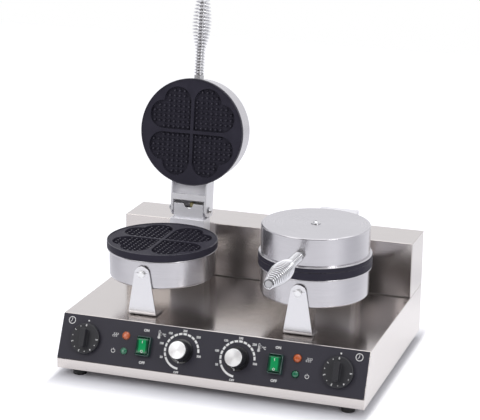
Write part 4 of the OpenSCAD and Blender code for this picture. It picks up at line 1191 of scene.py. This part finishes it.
def add_floor():
    """A pale table that keeps the shadow and turns white away from what stands on it."""
    shape = bmesh.new()
    corners = [(-1, -1), (1, -1), (1, 1), (-1, 1)]
    shape.faces.new([shape.verts.new((x * FLOOR_REACH, y * FLOOR_REACH, 0)) for x, y in corners])
    mesh = bpy.data.meshes.new("floor")
    shape.to_mesh(mesh)
    shape.free()
    floor = bpy.data.objects.new("floor", mesh)
    bpy.context.scene.collection.objects.link(floor)
    shader = Shader("floor")
    low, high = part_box("base_housing")
    middle, half = (low + high) / 2, (high - low) / 2
    at = shader.vector("SUBTRACT", shader.where(), (middle.x, middle.y, 0))
    out = shader.beyond(at, (half.x, half.y, 0))
    shadow = shader.length(shader.vector("MULTIPLY", out, (SHADOW_REACH / SHADOW_SIDE, 1, 1)))
    values = {"Value": shadow, "From Max": SHADOW_REACH, "To Min": 0.0, "To Max": FLOOR_GLOW}
    clear = shader.add("MapRange", values, interpolation_type="SMOOTHSTEP")
    paths = shader.tree.nodes.new("ShaderNodeLightPath").outputs
    depth = shader.add("SeparateXYZ", {0: shader.where()}, out=1)
    from_line = shader.math("ABSOLUTE", shader.math("SUBTRACT", depth, FAR_LINE))
    far = shader.stretch(from_line, 0.0, FAR_MOST, *FAR_RISE)
    near = shader.stretch(shader.length(out), 1.0, 0.0, *NEAR_FADE)
    share = shader.math("MAXIMUM", near, far)
    mirrored = shader.math("MAXIMUM", paths["Is Glossy Ray"], paths["Is Transmission Ray"])
    seen = shader.math("MAXIMUM", paths["Is Camera Ray"], shader.math("MULTIPLY", mirrored, share))
    shader.surface(Base_Color=FLOOR_COLOUR, Roughness=0.9, Specular_IOR_Level=0.1,
                   Emission_Color=grey(1.0),
                   Emission_Strength=shader.math("MULTIPLY", seen, clear))
    mesh.materials.append(shader.material)


# Directions in the room, as parts of a unit vector: where the dark front fades out backwards
# and upwards, and where the walls get lighter
FRONT_FADE = (-0.65, -0.2)
LOW_FADE = (0.48, 0.8)
BEHIND = (0.0, 0.6)
ABOVE = (0.6, 0.9)
ROOM_DARK = (0.065, 0.05, 0.045, 1)
ROOM_WALLS = (0.80, 0.80, 0.84, 1)
ROOM_BRIGHT = (1.0, 1.0, 1.03, 1)
ROOM_LIGHT = 0.58


def add_world():
    """White to the camera. Metal sees the same white room, darker in front."""
    world = bpy.data.worlds.new("studio")
    bpy.context.scene.world = world
    world.use_nodes = True
    nodes = Nodes(world.node_tree)
    background = nodes.tree.nodes["Background"]
    way = nodes.add("TexCoord", out="Generated")
    y, z = (nodes.add("SeparateXYZ", {0: way}, out=out) for out in (1, 2))
    front = nodes.stretch(y, 1.0, 0.0, *FRONT_FADE)
    low = nodes.stretch(z, 1.0, 0.0, *LOW_FADE)
    behind = nodes.stretch(y, 0.0, 1.0, *BEHIND)
    above = nodes.stretch(z, 0.0, 1.0, *ABOVE)
    walls = nodes.mix(nodes.math("MAXIMUM", behind, above), ROOM_WALLS, ROOM_BRIGHT)
    room = nodes.mix(nodes.math("MULTIPLY", front, low), walls, ROOM_DARK)
    paths = nodes.tree.nodes.new("ShaderNodeLightPath").outputs
    lit = nodes.mix(paths["Is Diffuse Ray"], room, grey(ROOM_LIGHT))
    nodes.feed(background.inputs["Color"], nodes.mix(paths["Is Camera Ray"], lit, grey(1.0)))


dress_nodes()
add_housings()
add_seam()
add_plates()
add_grips()
draw_panel()
draw_timers()
draw_pointers()
draw_rockers()
add_indicators()
add_camera()
add_lamps()
add_floor()
add_world()
bpy.context.scene.view_settings.view_transform = "Standard"
